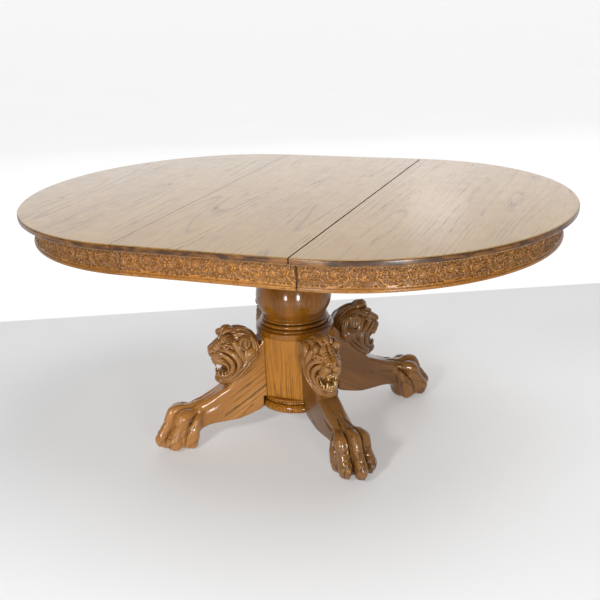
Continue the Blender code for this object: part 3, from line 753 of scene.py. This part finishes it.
# ---------------------------------------------------------------- sculpting
class Clay:
    """A block of signed distance on a grid, negative inside, that shapes are added to and cut from."""

    def __init__(self, low, high, cell):
        self.low = np.array(low, float)
        self.cell = cell
        self.counts = [math.ceil((h - l) / cell) + 1 for l, h in zip(low, high)]
        self.dist = np.full(self.counts, 1000.0, np.float32)

    def window(self, low, high):
        """The part of the grid between two corners: its slices and its coordinates."""
        parts, grid = [], []
        for k in range(3):
            first = max(0, math.floor((low[k] - self.low[k]) / self.cell))
            last = max(first, min(self.counts[k], math.ceil((high[k] - self.low[k]) / self.cell) + 1))
            shape = [1, 1, 1]
            shape[k] = -1
            parts.append(slice(first, last))
            grid.append((self.low[k] + self.cell * np.arange(first, last)).reshape(shape))
        return tuple(parts), grid

    def mix(self, shape, low, high, soft, carve=False):
        """Join a shape on, or carve it out, with a soft seam this wide."""
        margin = soft + 2 * self.cell
        where, grid = self.window([v - margin for v in low], [v + margin for v in high])
        if self.dist[where].size:
            sign = -1.0 if carve else 1.0
            a, b = sign * self.dist[where], shape(*grid)
            blend = np.clip(0.5 + 0.5 * (b - a) / soft, 0.0, 1.0)
            self.dist[where] = sign * (b * (1 - blend) + a * blend - soft * blend * (1 - blend))

    def ball(self, centre, radii, soft, carve=False, turn=np.eye(3)):
        """An ellipsoid; turn is three unit vectors for its own axes."""
        centre, radii = np.array(centre, float), np.array(radii, float)

        def shape(*grid):
            offs = [p - c for p, c in zip(grid, centre)]
            local = [sum(u * o for u, o in zip(axis, offs)) for axis in turn]
            k0 = np.sqrt(sum((p / r) ** 2 for p, r in zip(local, radii)))
            k1 = np.sqrt(sum((p / r ** 2) ** 2 for p, r in zip(local, radii)))
            return k0 * (k0 - 1.0) / np.maximum(k1, 1e-9)

        extent = np.sqrt(((turn * radii[:, None]) ** 2).sum(axis=0))
        self.mix(shape, centre - extent, centre + extent, soft, carve)

    def rope(self, points, radii, soft=3, carve=False):
        """A round bar through points, its radii spread evenly along it."""
        pts = [np.array(p, float) for p in points]
        radii = np.interp(np.linspace(0, 1, len(pts)), np.linspace(0, 1, len(radii)), radii)

        def shape(*grid):
            best = np.inf
            for a, b, ra, rb in zip(pts, pts[1:], radii, radii[1:]):
                t, gap = nearest(grid, a, b)
                best = np.minimum(best, gap - (ra + (rb - ra) * t))
            return best

        self.mix(shape, np.min(pts, axis=0) - max(radii), np.max(pts, axis=0) + max(radii), soft, carve)

    def etch(self, points, width, depth, seen_from, reach=16):
        """Press a tapering groove along a line, as seen from a direction; a negative depth raises it."""
        view = np.array(seen_from, float) / np.linalg.norm(seen_from)
        pts = [np.array(p, float) for p in points]
        margin = width + reach * np.abs(view)
        where, grid = self.window(np.min(pts, axis=0) - margin, np.max(pts, axis=0) + margin)
        height = sum(v * p for v, p in zip(view, grid))
        flat = [p - v * height for v, p in zip(view, grid)]
        close = along = away = np.inf
        for i, (a, b) in enumerate(zip(pts, pts[1:])):
            t, gap = nearest(flat, a - view * (a @ view), b - view * (b @ view))
            closer = gap < close
            close = np.where(closer, gap, close)
            along = np.where(closer, (i + t) / (len(pts) - 1), along)
            away = np.where(closer, np.abs(height - a @ view - t * ((b - a) @ view)), away)
        swell = np.sqrt(np.clip(np.sin(np.pi * np.clip(along, 0.02, 0.98)), 0, 1))
        shape = (1 - np.clip(close / (width * (0.4 + 0.6 * swell)), 0, 1) ** 2) ** 2
        near = 1 - np.clip((away - 0.6 * reach) / (0.4 * reach), 0, 1)
        self.dist[where] += (depth * swell * shape * near).astype(np.float32)

    def mesh(self):
        """The surface as vertices and quads, one vertex in each cell that the surface crosses."""
        inside = self.dist < 0
        n = [c - 1 for c in self.counts]
        corners = np.array([(i, j, k) for i in (0, 1) for j in (0, 1) for k in (0, 1)])
        count = sum(inside[i:i + n[0], j:j + n[1], k:k + n[2]].astype(np.int8) for i, j, k in corners)
        cells = np.argwhere((count > 0) & (count < 8))
        values = np.stack([self.dist[tuple((cells + corner).T)] for corner in corners], axis=1)
        total = np.zeros((len(cells), 3))
        hits = np.zeros(len(cells))
        for a in range(8):
            for b in range(a + 1, 8):
                if np.abs(corners[a] - corners[b]).sum() != 1:
                    continue
                va, vb = values[:, a], values[:, b]
                crossed = (va < 0) != (vb < 0)
                t = np.where(crossed, va / np.where(crossed, va - vb, 1.0), 0.0)
                total += (corners[a] + (corners[b] - corners[a]) * t[:, None]) * crossed[:, None]
                hits += crossed
        verts = MM * (self.low + self.cell * (cells + total / hits[:, None]))
        index = np.full(n, -1, np.int32)
        index[tuple(cells.T)] = np.arange(len(cells))
        quads = []
        for axis in range(3):
            u, v = (axis + 1) % 3, (axis + 2) % 3
            near, far = [slice(None)] * 3, [slice(None)] * 3
            near[axis], far[axis] = slice(0, -1), slice(1, None)
            at = np.argwhere(inside[tuple(near)] != inside[tuple(far)])
            at = at[(at[:, u] > 0) & (at[:, v] > 0) & (at[:, u] < n[u]) & (at[:, v] < n[v])]
            around = []
            for du, dv in ((-1, -1), (0, -1), (0, 0), (-1, 0)):
                cell = at.copy()
                cell[:, u] += du
                cell[:, v] += dv
                around.append(index[tuple(cell.T)])
            ring = np.stack(around, axis=1)
            backward = ~inside[tuple(at.T)]
            ring[backward] = ring[backward][:, ::-1]
            quads.append(ring)
        return verts, np.concatenate(quads)


def relax(verts, quads, rounds, amount):
    """Smooth a mesh by moving each vertex towards the middle of its neighbours."""
    starts, ends = quads.ravel(), np.roll(quads, -1, axis=1).ravel()
    hits = np.bincount(starts, minlength=len(verts)) + np.bincount(ends, minlength=len(verts))
    for _ in range(rounds):
        total = np.stack([np.bincount(starts, verts[ends, k], len(verts))
            + np.bincount(ends, verts[starts, k], len(verts)) for k in range(3)], axis=1)
        verts = verts + amount * (total / hits[:, None] - verts)
    return verts


# ---------------------------------------------------------------- the carvings' shared shapes
SIDE = (0.0, 1.0, 0.0)             # the direction a carver looks from
# A leg and its head are sculpted in millimetres, in their own frame: X out from the column, Y sideways,
# Z up. A number that ends a ball, rope or band is the width of its soft seam.
SADDLE_LOW = np.array((250, 177))        # the straight sloping joint between a leg and its head
SADDLE_HIGH = np.array((121.2, 318))
PLANK_HALF = 34          # half a leg's thickness
HEAD_BACK = 129.2        # the heads are cut off here, clear of the column
HEAD_CELL = 1.5          # spacing of the grids that the carvings are worked out on
LEG_CELL = 1.8


def saddle_distance(out, z):
    """Distance above the sloping joint between a leg and its head, negative below it."""
    along = (SADDLE_HIGH - SADDLE_LOW) / np.linalg.norm(SADDLE_HIGH - SADDLE_LOW)
    return along[1] * (out - SADDLE_LOW[0]) - along[0] * (z - SADDLE_LOW[1])


def mirrored(points):
    return [(x, -y, z) for x, y, z in points]


def pair_ball(clay, centre, radii, soft, **words):
    for side in (1, -1):
        clay.ball((centre[0], side * centre[1], centre[2]), radii, soft, **words)


def pair_band(clay, points, radii, soft=3):
    """A smooth bar through a few points, on both sides."""
    path = smooth_path(points, 6)
    clay.rope(path, radii, soft)
    clay.rope(mirrored(path), radii, soft)


def pair_etch(clay, points, width, depth, seen_from, reach=16):
    """The same groove on both sides, through a few points."""
    path = smooth_path(points, 4)
    clay.etch(path, width, depth, seen_from, reach)
    clay.etch(mirrored(path), width, depth, mirrored([seen_from])[0], reach)


# ---------------------------------------------------------------- lion's head
def head_masses(clay):
    clay.ball((200, 0, 302), (60, 43, 58), 10)
    clay.ball((172, 0, 306), (36, 45, 46), 12)
    clay.rope([(185, 0, 270), (215, 0, 238), (240, 0, 212)], [44, 36, 26], 12)
    clay.ball((234, 0, 332), (29, 31, 22), 10)
    clay.ball((205, 0, 340), (34, 32, 20), 10)


def head_muzzle(clay):
    # broad flat bridge running down to the nose
    for side in (1, -1):
        clay.rope([(238, side * 8, 331), (262, side * 8, 321.5), (284, side * 8.5, 308.5)],
            [16.5, 14.5, 11.5], 6)
    clay.ball((256, 0, 294), (30, 30, 24), 10)
    # lips: deep pads either side of the nose, square in front
    pair_ball(clay, (273, 16, 287), (20.5, 16.5, 18.5), 3)
    pair_ball(clay, (266, 22, 274), (19, 12, 16.5), 5)
    # nose pad: wide above, narrow below, with nostrils
    clay.ball((288.5, 0, 309), (9.5, 19, 7.5), 3)
    clay.ball((290, 0, 301), (9, 12, 9.5), 3)
    pair_ball(clay, (287, 15, 305.5), (8, 6.5, 7.5), 2)
    pair_ball(clay, (296.5, 11, 303.5), (6, 4.2, 3.8), 1.5, carve=True)
    pair_etch(clay, [(290, 22.5, 301), (294, 16, 297.5), (298, 6, 292.5)], 2.2, 3, (1, 0.3, 0))
    clay.etch([(298, 0, 313), (298, 0, 295), (294, 0, 282), (286, 0, 269)], 2.4, 4.2, (1, 0, 0))


def head_mouth(clay):
    clay.ball((252, 0, 205), (30, 23.5, 16.5), 8)
    clay.ball((264, 0, 203), (16.5, 19, 16), 6)
    clay.ball((255, 0, 192), (15, 16, 14), 6)
    # the open mouth, tall in front and deep at its corners
    clay.ball((277, 0, 244), (35, 20, 23.5), 3, carve=True)
    clay.ball((256, 0, 242), (26, 26.5, 20), 3, carve=True)
    clay.ball((254, 0, 222.5), (20, 10.5, 6.5), 3)
    clay.etch([(238, 0, 229.5), (254, 0, 229.5), (270, 0, 225.5)], 2.5, 2, (0, 0, 1))
    # one thick lip, from under the nose round the corner to the chin
    pair_band(clay, [(286, 5, 269.5), (282, 15, 266), (270, 25, 265), (254, 31.5, 260), (243, 33, 244),
        (244, 31, 226), (256, 25, 216.5), (269, 15, 216.5), (275.5, 0, 217)],
        [3.4, 4.2, 4.4, 4.6, 5.2, 5.2, 4.6, 4.4, 4.4], 2)
    # lines that follow the lower lip round the chin
    for drop in (7.5, 13, 18.5):
        pair_etch(clay, [(279, -2, 217 - drop), (274, 11, 216.5 - drop), (262, 21.5, 217 - drop),
            (246, 30, 225 - 0.9 * drop)], 2.6, 2.6, (0.8, 0.6, -0.1))


def head_teeth(clay):
    for side in (1, -1):
        clay.rope([(279, side * 12.5, 268), (281, side * 12, 257), (279, side * 11.2, 249)],
            [4.4, 3.6, 1.4], 0.6)
        clay.rope([(270, side * 13, 217.5), (273, side * 12.8, 228.5), (271, side * 12, 237)],
            [4.2, 3.4, 1.4], 0.6)
        for k in range(3):
            x, y = 267 - 8.5 * k, side * (20.5 + 3 * k)
            clay.rope([(x, y, 265), (x, y, 255.5)], [4.2, 2.4], 0.6)
            clay.rope([(x - 5, y * 0.98, 217.5), (x - 5, y * 0.98, 227.5)], [4, 2.2], 0.6)
        for k in range(2):
            y = side * (2.5 + 5 * k)
            clay.rope([(283, y, 269), (283.5, y, 261.5)], [2.6, 2.3], 0.5)
            clay.rope([(274.5, y, 217.5), (275, y, 225)], [2.6, 2.2], 0.5)


def head_cheeks(clay):
    """Two thick bands of muscle that sweep round the mouth, with deep grooves between."""
    pair_band(clay, [(256, 27, 303), (240, 37, 299), (222, 43, 282), (213, 44.5, 260), (217, 40.5, 239),
        (231, 32, 218), (247, 20, 201)], [6, 9.5, 11.5, 12, 11, 9.5, 6])
    pair_band(clay, [(270, 24, 299), (256, 33.5, 290), (241, 38.5, 276), (232, 39, 256), (236, 35, 237),
        (249, 27, 219)], [5, 8.5, 9.5, 9.5, 8.5, 5], 2)
    pair_etch(clay, [(262, 33, 301), (245, 43, 292), (229, 45, 274), (222.5, 45, 252), (227, 40, 231),
        (240, 30, 213)], 4.2, 6.2, (0.35, 1, 0))
    pair_etch(clay, [(274, 27, 289), (262, 35, 279), (249, 39, 266), (242, 39, 250), (244, 36, 236),
        (253, 28, 220)], 3.4, 4.2, (0.45, 1, 0))
    pair_etch(clay, [(233, 44, 296), (217, 50, 280), (211, 52, 260), (214, 48, 242)], 2, 1.4, SIDE)


def head_wrinkles(clay):
    """The snarl: grooves that fan out over the muzzle, and wrinkles across the bridge of the nose."""
    for k in range(5):
        turn = math.radians(62 - 30 * k)
        start = (280 + 5 * math.cos(turn), 21, 293 + 8 * math.sin(turn))
        tip = (269 - 5 * math.cos(turn), 30 + math.cos(turn), 290 + 23 * math.sin(turn))
        middle = tuple((a + b) / 2 for a, b in zip(start, tip))
        pair_etch(clay, [start, middle, tip], 2.4, 2.2, (0.7, 1, 0.1))
    for k in range(3):
        x, z = 280 - 9.5 * k, 315 + 4.5 * k
        pair_etch(clay, [(x + 1, -1, z + 6), (x - 3, 10, z + 4), (x - 7, 19, z - 4)], 2.6, 2.2,
            (0.5, 0.2, 1))


def head_eyes_and_brow(clay):
    # socket, ball and lids; the inner corner is the lower one
    pair_ball(clay, (256, 31, 315), (14, 11, 8), 5, carve=True)
    pair_ball(clay, (249, 26.2, 315), (10.5, 9.5, 8), 1)
    pair_band(clay, [(266, 16.5, 310), (261, 27, 321.5), (249, 36.5, 325), (237, 38.5, 321)],
        [2.2, 3.6, 4.2, 3])
    pair_band(clay, [(266, 16.5, 310), (259, 31, 308.5), (248, 38, 311), (237, 38.5, 321)],
        [2.2, 3, 3.4, 2.6])
    # bushy brow: a flat lobe that leans back, its hair in stripes
    lean = np.array([[0.82, 0.42, 0.38], [-0.45, 0.89, -0.02], [-0.35, -0.16, 0.92]])
    for side in (1, -1):
        turn = lean * np.array([1, side, 1])
        clay.ball((236, side * 29, 340), (26, 13, 16.5), 2.5, turn=turn)
    for k in range(4):
        low = -9 + 6 * k
        pair_etch(clay, [(261 + 0.25 * low, 33, 335 + 0.55 * low), (250 + 0.10 * low, 39, 341 + 0.95 * low),
            (235 - 0.10 * low, 42, 344 + 1.05 * low), (218, 40, 340 + 0.90 * low)], 2.4, 3, (0.35, 1, 0.25))
    clay.etch([(276, 0, 324), (262, 0, 335), (248, 0, 348), (236, 0, 356)], 6, 5, (0.6, 0, 1))


def head_ears(clay):
    """A round ear standing on its edge, a thick rim round a hollow with one fold in it."""
    lean = np.array([[0.93, 0.36, 0.0], [-0.36, 0.93, 0.0], [0.0, 0.0, 1.0]])
    for side in (1, -1):
        turn = lean * np.array([1, side, 1])
        clay.ball((189, side * 44, 324), (24, 15.5, 25), 1.5, turn=turn)
        clay.ball((194, side * 60, 323), (16.5, 8, 17.5), 3, carve=True, turn=turn)
    pair_etch(clay, [(186, 54, 308), (189, 56, 320), (188, 54, 335)], 6, -4, (0.3, 1, 0))


def head_mane(clay):
    # a big smooth roll under the ear that runs down beside the cheek to the chin
    pair_ball(clay, (173, 40, 280), (30, 19, 26.5), 2)
    pair_band(clay, [(179, 40, 267), (190, 40, 249), (203, 38.5, 232.5), (219, 33, 215), (237, 24, 199),
        (248, 16, 191)], [15.5, 15, 13.8, 12.2, 10, 6])
    for k in range(4):
        off = 6.6 * (k - 1.5)
        pair_etch(clay, [(158 + off, 54, 296 - 0.6 * off), (166 + off, 59, 276 - 0.5 * off),
            (183 + 0.8 * off, 56, 256 - 0.6 * off), (200 + 0.7 * off, 51, 237 - 0.7 * off),
            (220 + 0.6 * off, 42, 218 - 0.7 * off), (240 + 0.5 * off, 30, 201 - 0.6 * off)], 2.2, 2, SIDE,
            reach=20)
    # broad locks laid back over the crown and down behind the ear
    for points, radii in (
            ([(228, 10, 350), (212, 12, 356), (192, 13, 354), (170, 14, 344), (150, 14, 326)],
                [7.5, 10.5, 12, 12, 8]),
            ([(218, 25, 347), (204, 27, 349), (188, 29, 345), (168, 30, 334), (150, 30, 316)],
                [6, 9.5, 11.5, 12, 8.5]),
            ([(176, 40, 340), (165, 42, 330), (157, 43, 316), (153, 43, 300), (154, 42, 286)],
                [6.5, 10, 11.2, 10.5, 8]),
            ([(220, 36, 326), (212, 41, 308), (204, 43, 288), (199, 42, 266)], [10, 12.5, 12, 8])):
        pair_band(clay, points, radii, 2)
    for line in range(5):
        y = 5 + 8 * line
        pair_etch(clay, [(226, 0.9 * y, 362 - 0.1 * y), (208, y, 368 - 0.3 * y),
            (188, 1.1 * y, 366 - 0.4 * y), (168, 1.15 * y, 356 - 0.5 * y), (148, 1.15 * y, 338 - 0.6 * y)],
            2.4, 2.4, (-0.15, 0.25 + 0.012 * y, 1), reach=20)
    for k in range(3):
        x = 140 + 8.5 * k
        pair_etch(clay, [(x + 22, 54, 352), (x + 10, 57, 336), (x + 2, 58, 318), (x, 56, 300),
            (x + 3, 54, 286)], 2.2, 2.2, SIDE)
    # forelock: three broad tufts between the brows
    clay.ball((228, 0, 355), (24, 20, 14), 3)
    for y, out, rise in ((0.0, 2, 3), (15, -3, -1)):
        pair_band(clay, [(212, y * 0.8, 356), (226 + out, y * 0.9, 364 + rise),
            (239 + out, y, 365.5 + rise), (249 + out, y * 1.05, 359 + rise)], [8, 9.8, 9.2, 6.5], 1.5)
        pair_etch(clay, [(220, y + 3, 380), (238 + out, y + 3.5, 378), (254 + out, y + 3.5, 364)], 2.2, 2.4,
            (0.4, 0, 1), reach=20)


def lion_head():
    clay = Clay((120, -72, 168), (306, 72, 386), HEAD_CELL)
    for step in (head_masses, head_muzzle, head_mane, head_ears, head_eyes_and_brow, head_mouth,
            head_cheeks, head_wrinkles, head_teeth):
        step(clay)

    def plank(x, y, z):
        return np.maximum(saddle_distance(x, z) - 0.6, np.abs(y) - (PLANK_HALF + 0.5))

    clay.mix(plank, (100, -50, 150), (310, 50, 390), 0.6, carve=True)
    clay.mix(lambda x, y, z: x - HEAD_BACK, (100, -80, 150), (135, 80, 390), 2, carve=True)
    return clay.mesh()


# ---------------------------------------------------------------- lion's leg and paw
# the plank seen from the side, and below it the middle toe's path, as (out, height)
LEG_OUTLINE = ((121.2, 316.5), (125.5, 313), (250, 177), (270, 169), (300, 156), (330, 145.5), (360, 140),
    (390, 130), (400, 60), (360, 30), (350, 42), (338, 51), (320, 57), (300, 60), (260, 60.2), (220, 60.4),
    (185, 68), (150, 78), (133.6, 85), (133.6, 122.2), (121.2, 122.2))
# the toe has a high knuckle, a hollow and a swollen tip
TOE_PATH = ((325, 122), (350, 121), (378, 118), (404, 120), (423, 115), (437, 96), (446, 78), (456, 58),
    (463, 40), (460, 27))
TOE_THICK = (8, 12, 16.5, 23, 26.2, 21.5, 19.5, 23.5, 27.5, 25)
TOES = (-1, 0, 1)
TOE_PITCH = 37
TOE_SHIFT = 22           # the outer toes stand this far back from the middle one
TOE_DROP = 10            # and their knuckles this much lower


def polygon_distance(outline, x, y):
    """Signed distance to a closed polygon, negative inside."""
    pts = np.array(outline)
    inside, best = False, np.inf
    for a, b in zip(pts, np.roll(pts, -1, axis=0)):
        best = np.minimum(best, nearest((x, y), a, b)[1])
        if a[1] != b[1]:
            crossing = a[0] + (y - a[1]) * (b[0] - a[0]) / (b[1] - a[1])
            inside = inside ^ (((a[1] > y) != (b[1] > y)) & (x < crossing))
    return np.where(inside, -best, best)


def leg_plank(clay):
    """The sawn plank: its outline seen from the side, thinner at the ankle, its corners rounded."""
    x, y, z = clay.window(clay.low, clay.low + 1000)[1]
    half = np.interp(x, [120, 250, 310, 345, 400], [PLANK_HALF, PLANK_HALF, 32, 30, 25])
    arris = np.interp(x, [120, 200, 270, 330, 360], [2.5, 5, 11, 18, 22])
    dx, dy = polygon_distance(LEG_OUTLINE, x, z) + arris, np.abs(y) - half + arris
    outside = np.sqrt(np.maximum(dx, 0) ** 2 + np.maximum(dy, 0) ** 2)
    clay.dist = (outside + np.minimum(np.maximum(dx, dy), 0) - arris).astype(np.float32)


def leg_paw(clay):
    # the body of the paw, solid to the floor
    clay.ball((398, 0, 100), (44, 44, 36), 16)
    clay.ball((402, 0, 56), (50, 50, 56), 14)
    clay.ball((396, 0, 26), (46, 46, 34), 10)
    # a broad smooth pad on each side, from the ankle down to the floor
    for side in (1, -1):
        clay.rope([(350, side * 24, 110), (366, side * 34, 92), (376, side * 40.5, 64),
            (382, side * 41.5, 36), (384, side * 40, 18)], [13, 17, 19, 19, 17], 8)
        clay.ball((402, side * 40, 52), (30, 18.5, 48), 8)
    for toe in TOES:
        points = []
        for (out, height), part in zip(TOE_PATH, np.linspace(0, 1, len(TOE_PATH))):
            spread = TOE_PITCH * (0.45 + 0.55 * min(1.0, 2 * part))
            drop = TOE_DROP * abs(toe) * min(1.0, 2 * part) * (height / 120) ** 2
            back = TOE_SHIFT * abs(toe) * min(1.0, 1.6 * part)
            points.append((out - back, toe * spread, height - drop))
        clay.rope(smooth_path(points, 4), [radius * (0.88 if toe else 0.96) for radius in TOE_THICK])


def leg_grooves(clay):
    """Valleys between the toes, from the ankle over the knuckles to the floor, and sinews on the ankle."""
    front = (1.0, 0.0, 0.55)
    for side in (1, -1):
        y = side * TOE_PITCH * 0.52
        valley = smooth_path([(335, y * 0.45, 146), (370, y * 0.68, 144), (400, y * 0.92, 142),
            (428, y, 124), (442, y, 96), (453, y, 70), (464, y, 46), (470, y, 22), (466, y, -4)], 5)
        clay.etch(valley, 10, 6, front, reach=34)
        clay.etch(valley, 3.8, 6.5, front, reach=34)
        # a thin ridge that follows each valley
        ridge = [(x - 3, v + side * 7.5, z) for x, v, z in valley[6:-6]]
        clay.etch(ridge, 3.4, -2.4, front, reach=34)
        # between the outer toe and the side pad
        hollow = smooth_path([(356, side * 38, 120), (376, side * 50, 104), (396, side * 58, 80),
            (408, side * 62, 52), (415, side * 62, 24), (415, side * 60, -4)], 5)
        clay.etch(hollow, 11, 5.5, (0.35, side, 0), reach=34)
        clay.etch(hollow, 4, 3.5, (0.35, side, 0), reach=34)
        low = [(280, side * 34, 130), (310, side * 32, 118), (340, side * 33, 112), (366, side * 42, 112)]
        clay.etch(smooth_path(low, 5), 9, 3, (0, side, 0), reach=30)
        high = [(285, side * 10.5, 162), (315, side * 10.5, 150), (340, side * 10, 145),
            (360, side * 11, 145)]
        clay.etch(smooth_path(high, 5), 7, 2.2, (0.2, 0, 1), reach=30)


def leg_claws(clay):
    """A blunt claw in a fold at the end of each toe, and creases across its joints."""
    for toe in TOES:
        y = toe * TOE_PITCH
        tip = 488 - (TOE_SHIFT + 3.5) * abs(toe)
        claw = smooth_path([(tip - 8, y, 50), (tip - 2, y, 40), (tip - 2, y, 27), (tip - 8, y, 14)], 4)
        clay.rope(claw, np.interp(np.linspace(0, 1, len(claw)), [0, 0.4, 1], [6, 7.8, 5]), 1.5)
        for side in (1, -1):
            fold = [(tip - 6, y + side * 3, 56), (tip - 3, y + side * 10, 48),
                (tip - 4, y + side * 12.5, 30), (tip - 8, y + side * 11, 8)]
            clay.etch(smooth_path(fold, 4), 3.6, 4, (1, 0, 0), reach=24)
        for back, height, depth in ((34, 86, 2.6), (18, 61, 2.2)):
            crease = [(tip - back - (6 if across else 0), y + across, height + (5 if across else 0))
                for across in (-15, 0, 15)]
            clay.etch(smooth_path(crease, 4), 4.8, depth, (1, 0, 0.5), reach=30)


def lion_leg():
    clay = Clay((115, -74, -8), (502, 74, 325), LEG_CELL)
    for step in (leg_plank, leg_paw, leg_grooves, leg_claws):
        step(clay)
    clay.mix(lambda x, y, z: z, (300, -80, -10), (520, 80, 4), 1.5, carve=True)
    return clay.mesh()


def lion_mesh(name, sculpt, rounds):
    verts, quads = sculpt()
    return mesh_of(name, relax(verts, quads, rounds, 0.4), quads)


def build_legs(materials):
    """Four equal legs and heads, each sculpted once with +X outward and turned to its corner."""
    leg = lion_mesh("lion_leg", lion_leg, 2)
    head = lion_mesh("lion_head", lion_head, 1)
    for corner, angle in LEG_ANGLES.items():
        add_piece(f"lion_leg_{corner}", leg.copy(), materials["leg_" + corner], "pedestal",
            f"leg_{corner}", angle)
        add_piece(f"carved_head_{corner}", head.copy(), materials["head_" + corner], "pedestal",
            f"lion_head_{corner}", angle)


# ---------------------------------------------------------------- carried-over CAD nodes
CARRIED = (("bolt", "steel"), ("tie_rod", "steel"), ("dowel", "dowel"), ("_pin_", "dowel"),
    ("platform", "board"))


def dress_frame(materials):
    """Give the CAD nodes that stay their materials, and ease the edges of the sawn ones."""
    for name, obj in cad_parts.items():
        kind = next((look for word, look in CARRIED if word in name), "slide")
        for slot in obj.material_slots:
            slot.material = materials[kind]
        if not obj.material_slots:
            obj.data.materials.append(materials[kind])
        if kind in ("slide", "board") and not obj.hide_render:
            ease = obj.modifiers.new("eased", "BEVEL")
            ease.width = SEAM_EDGE
            ease.segments = 2
            ease.limit_method = "ANGLE"
            ease.angle_limit = math.radians(40)


# ---------------------------------------------------------------- camera, floor and light
CAMERA_AIM = Vector((0.0, 0.0, 0.4))
CAMERA_DISTANCE = 3.0327
CAMERA_AZIMUTH = 23.440       # degrees
CAMERA_ELEVATION = 19.962
CAMERA_TURNS = (("Y", -0.3788), ("X", 0.2994), ("Z", -2.9367))   # small turns in the camera's own axes
CAMERA_LENS = 56.60

FLOOR_GLOW = (0.264, 0.264, 0.264)      # the photo's floor hardly shows a shadow
WALL_GLOW = (0.75, 0.75, 0.75)
FLOOR_RADIUS = 90.0
BACKDROP_FACING = (-0.4344, 0.9007)     # the floor turns white beyond a line square to this,
BACKDROP_FAR = 1.131                    # this far from the table's axis

# Each light's place, the point that it faces, its size and its power in watts.
LIGHTS = {
    "window": ((-1.8, 4.2, 2.3), (0, 0, 0.6), (7.0, 3.2), 41.0),
    "ceiling": ((1.0, 0.3, 4.0), (0, 0, 0.6), (3.0, 3.0), 75.0),
    "key": ((-0.4, -3.1, 1.95), (0, 0, 0.4), (0.5, 0.5), 48.0),
    "near_lamp": ((0.0, -2.9, 0.45), (0, 0, 0.45), (0.34, 0.34), 16.0),
    "far_lamp": ((1.75, -2.35, 0.45), (0, 0, 0.45), (0.34, 0.34), 30.0),
    "sheen": ((-0.23, 2.84, 1.70), (0.561, -0.33, 0.762), (0.35, 0.35), 0.6),
}


def add_camera():
    a, e = math.radians(CAMERA_AZIMUTH), math.radians(CAMERA_ELEVATION)
    back = Vector((math.sin(a) * math.cos(e), -math.cos(a) * math.cos(e), math.sin(e)))
    camera = new_object("camera", bpy.data.cameras.new("camera"))
    camera.data.lens = CAMERA_LENS
    matrix = Matrix.Translation(CAMERA_AIM + back * CAMERA_DISTANCE)
    matrix = matrix @ (-back).to_track_quat("-Z", "Y").to_matrix().to_4x4()
    for axis, angle in CAMERA_TURNS:
        matrix = matrix @ Matrix.Rotation(math.radians(angle), 4, axis)
    camera.matrix_world = matrix
    bpy.context.scene.camera = camera


def add_floor():
    """A pale floor that turns white beyond a line behind the table, like the foot of a studio wall."""
    g = material_graph("studio_floor")
    x, y = g.place[:2]
    across, back = BACKDROP_FACING
    beyond = (x * across + y * back - BACKDROP_FAR).rise(-0.004, 0.012)
    cloud = g.noise(x * 1.6, y * 1.6, 0.0, detail=3.0)
    speck = g.noise(x * 90, y * 90, 0.0)
    near = g.blend(cloud * 0.5 + speck * 0.25, (0.555, 0.56, 0.565), (0.635, 0.64, 0.645))
    material = g.finish(Base_Color=g.blend(beyond, near, (0.35, 0.35, 0.35)), Roughness=0.75 - cloud * 0.2,
        Emission_Color=g.blend(beyond, FLOOR_GLOW, WALL_GLOW), Emission_Strength=1.0)
    ring = [(x, y, 0.0) for x, y in arc((0, 0), FLOOR_RADIUS, 0, 360, 96)[:-1]]
    floor = new_object("floor", mesh_of("floor", ring, [], [range(len(ring))]))
    floor.data.materials.append(material)


def add_world():
    """White walls all round, brightest at the horizon behind the table and dimmer overhead."""
    world = bpy.data.worlds.new("white_studio")
    bpy.context.scene.world = world
    g = Graph(world, "Background", "Generated")
    y, z = g.place[1:]
    overhead = 1.0 - z.rise(0.52, 0.90) * 0.65
    behind = y.rise(0.05, 0.72) * 0.82 + 0.15
    g.finish(Color=(0.98, 0.985, 1.0), Strength=overhead * behind)


def add_lights():
    for name, (place, aim, size, power) in LIGHTS.items():
        light = bpy.data.lights.new(name, "AREA")
        light.shape = "RECTANGLE"
        light.size, light.size_y = size
        light.energy = power
        box = new_object(name, light)
        box.location = place
        box.rotation_euler = (Vector(aim) - Vector(place)).to_track_quat("-Z", "Y").to_euler()
        box.visible_camera = False
    bpy.context.scene.view_settings.view_transform = "Standard"


# ---------------------------------------------------------------- the whole scene
def main():
    add_camera()
    materials = make_materials()
    build_top(materials)
    build_aprons(materials)
    build_column(materials)
    build_legs(materials)
    dress_frame(materials)
    add_floor()
    add_world()
    add_lights()


main()
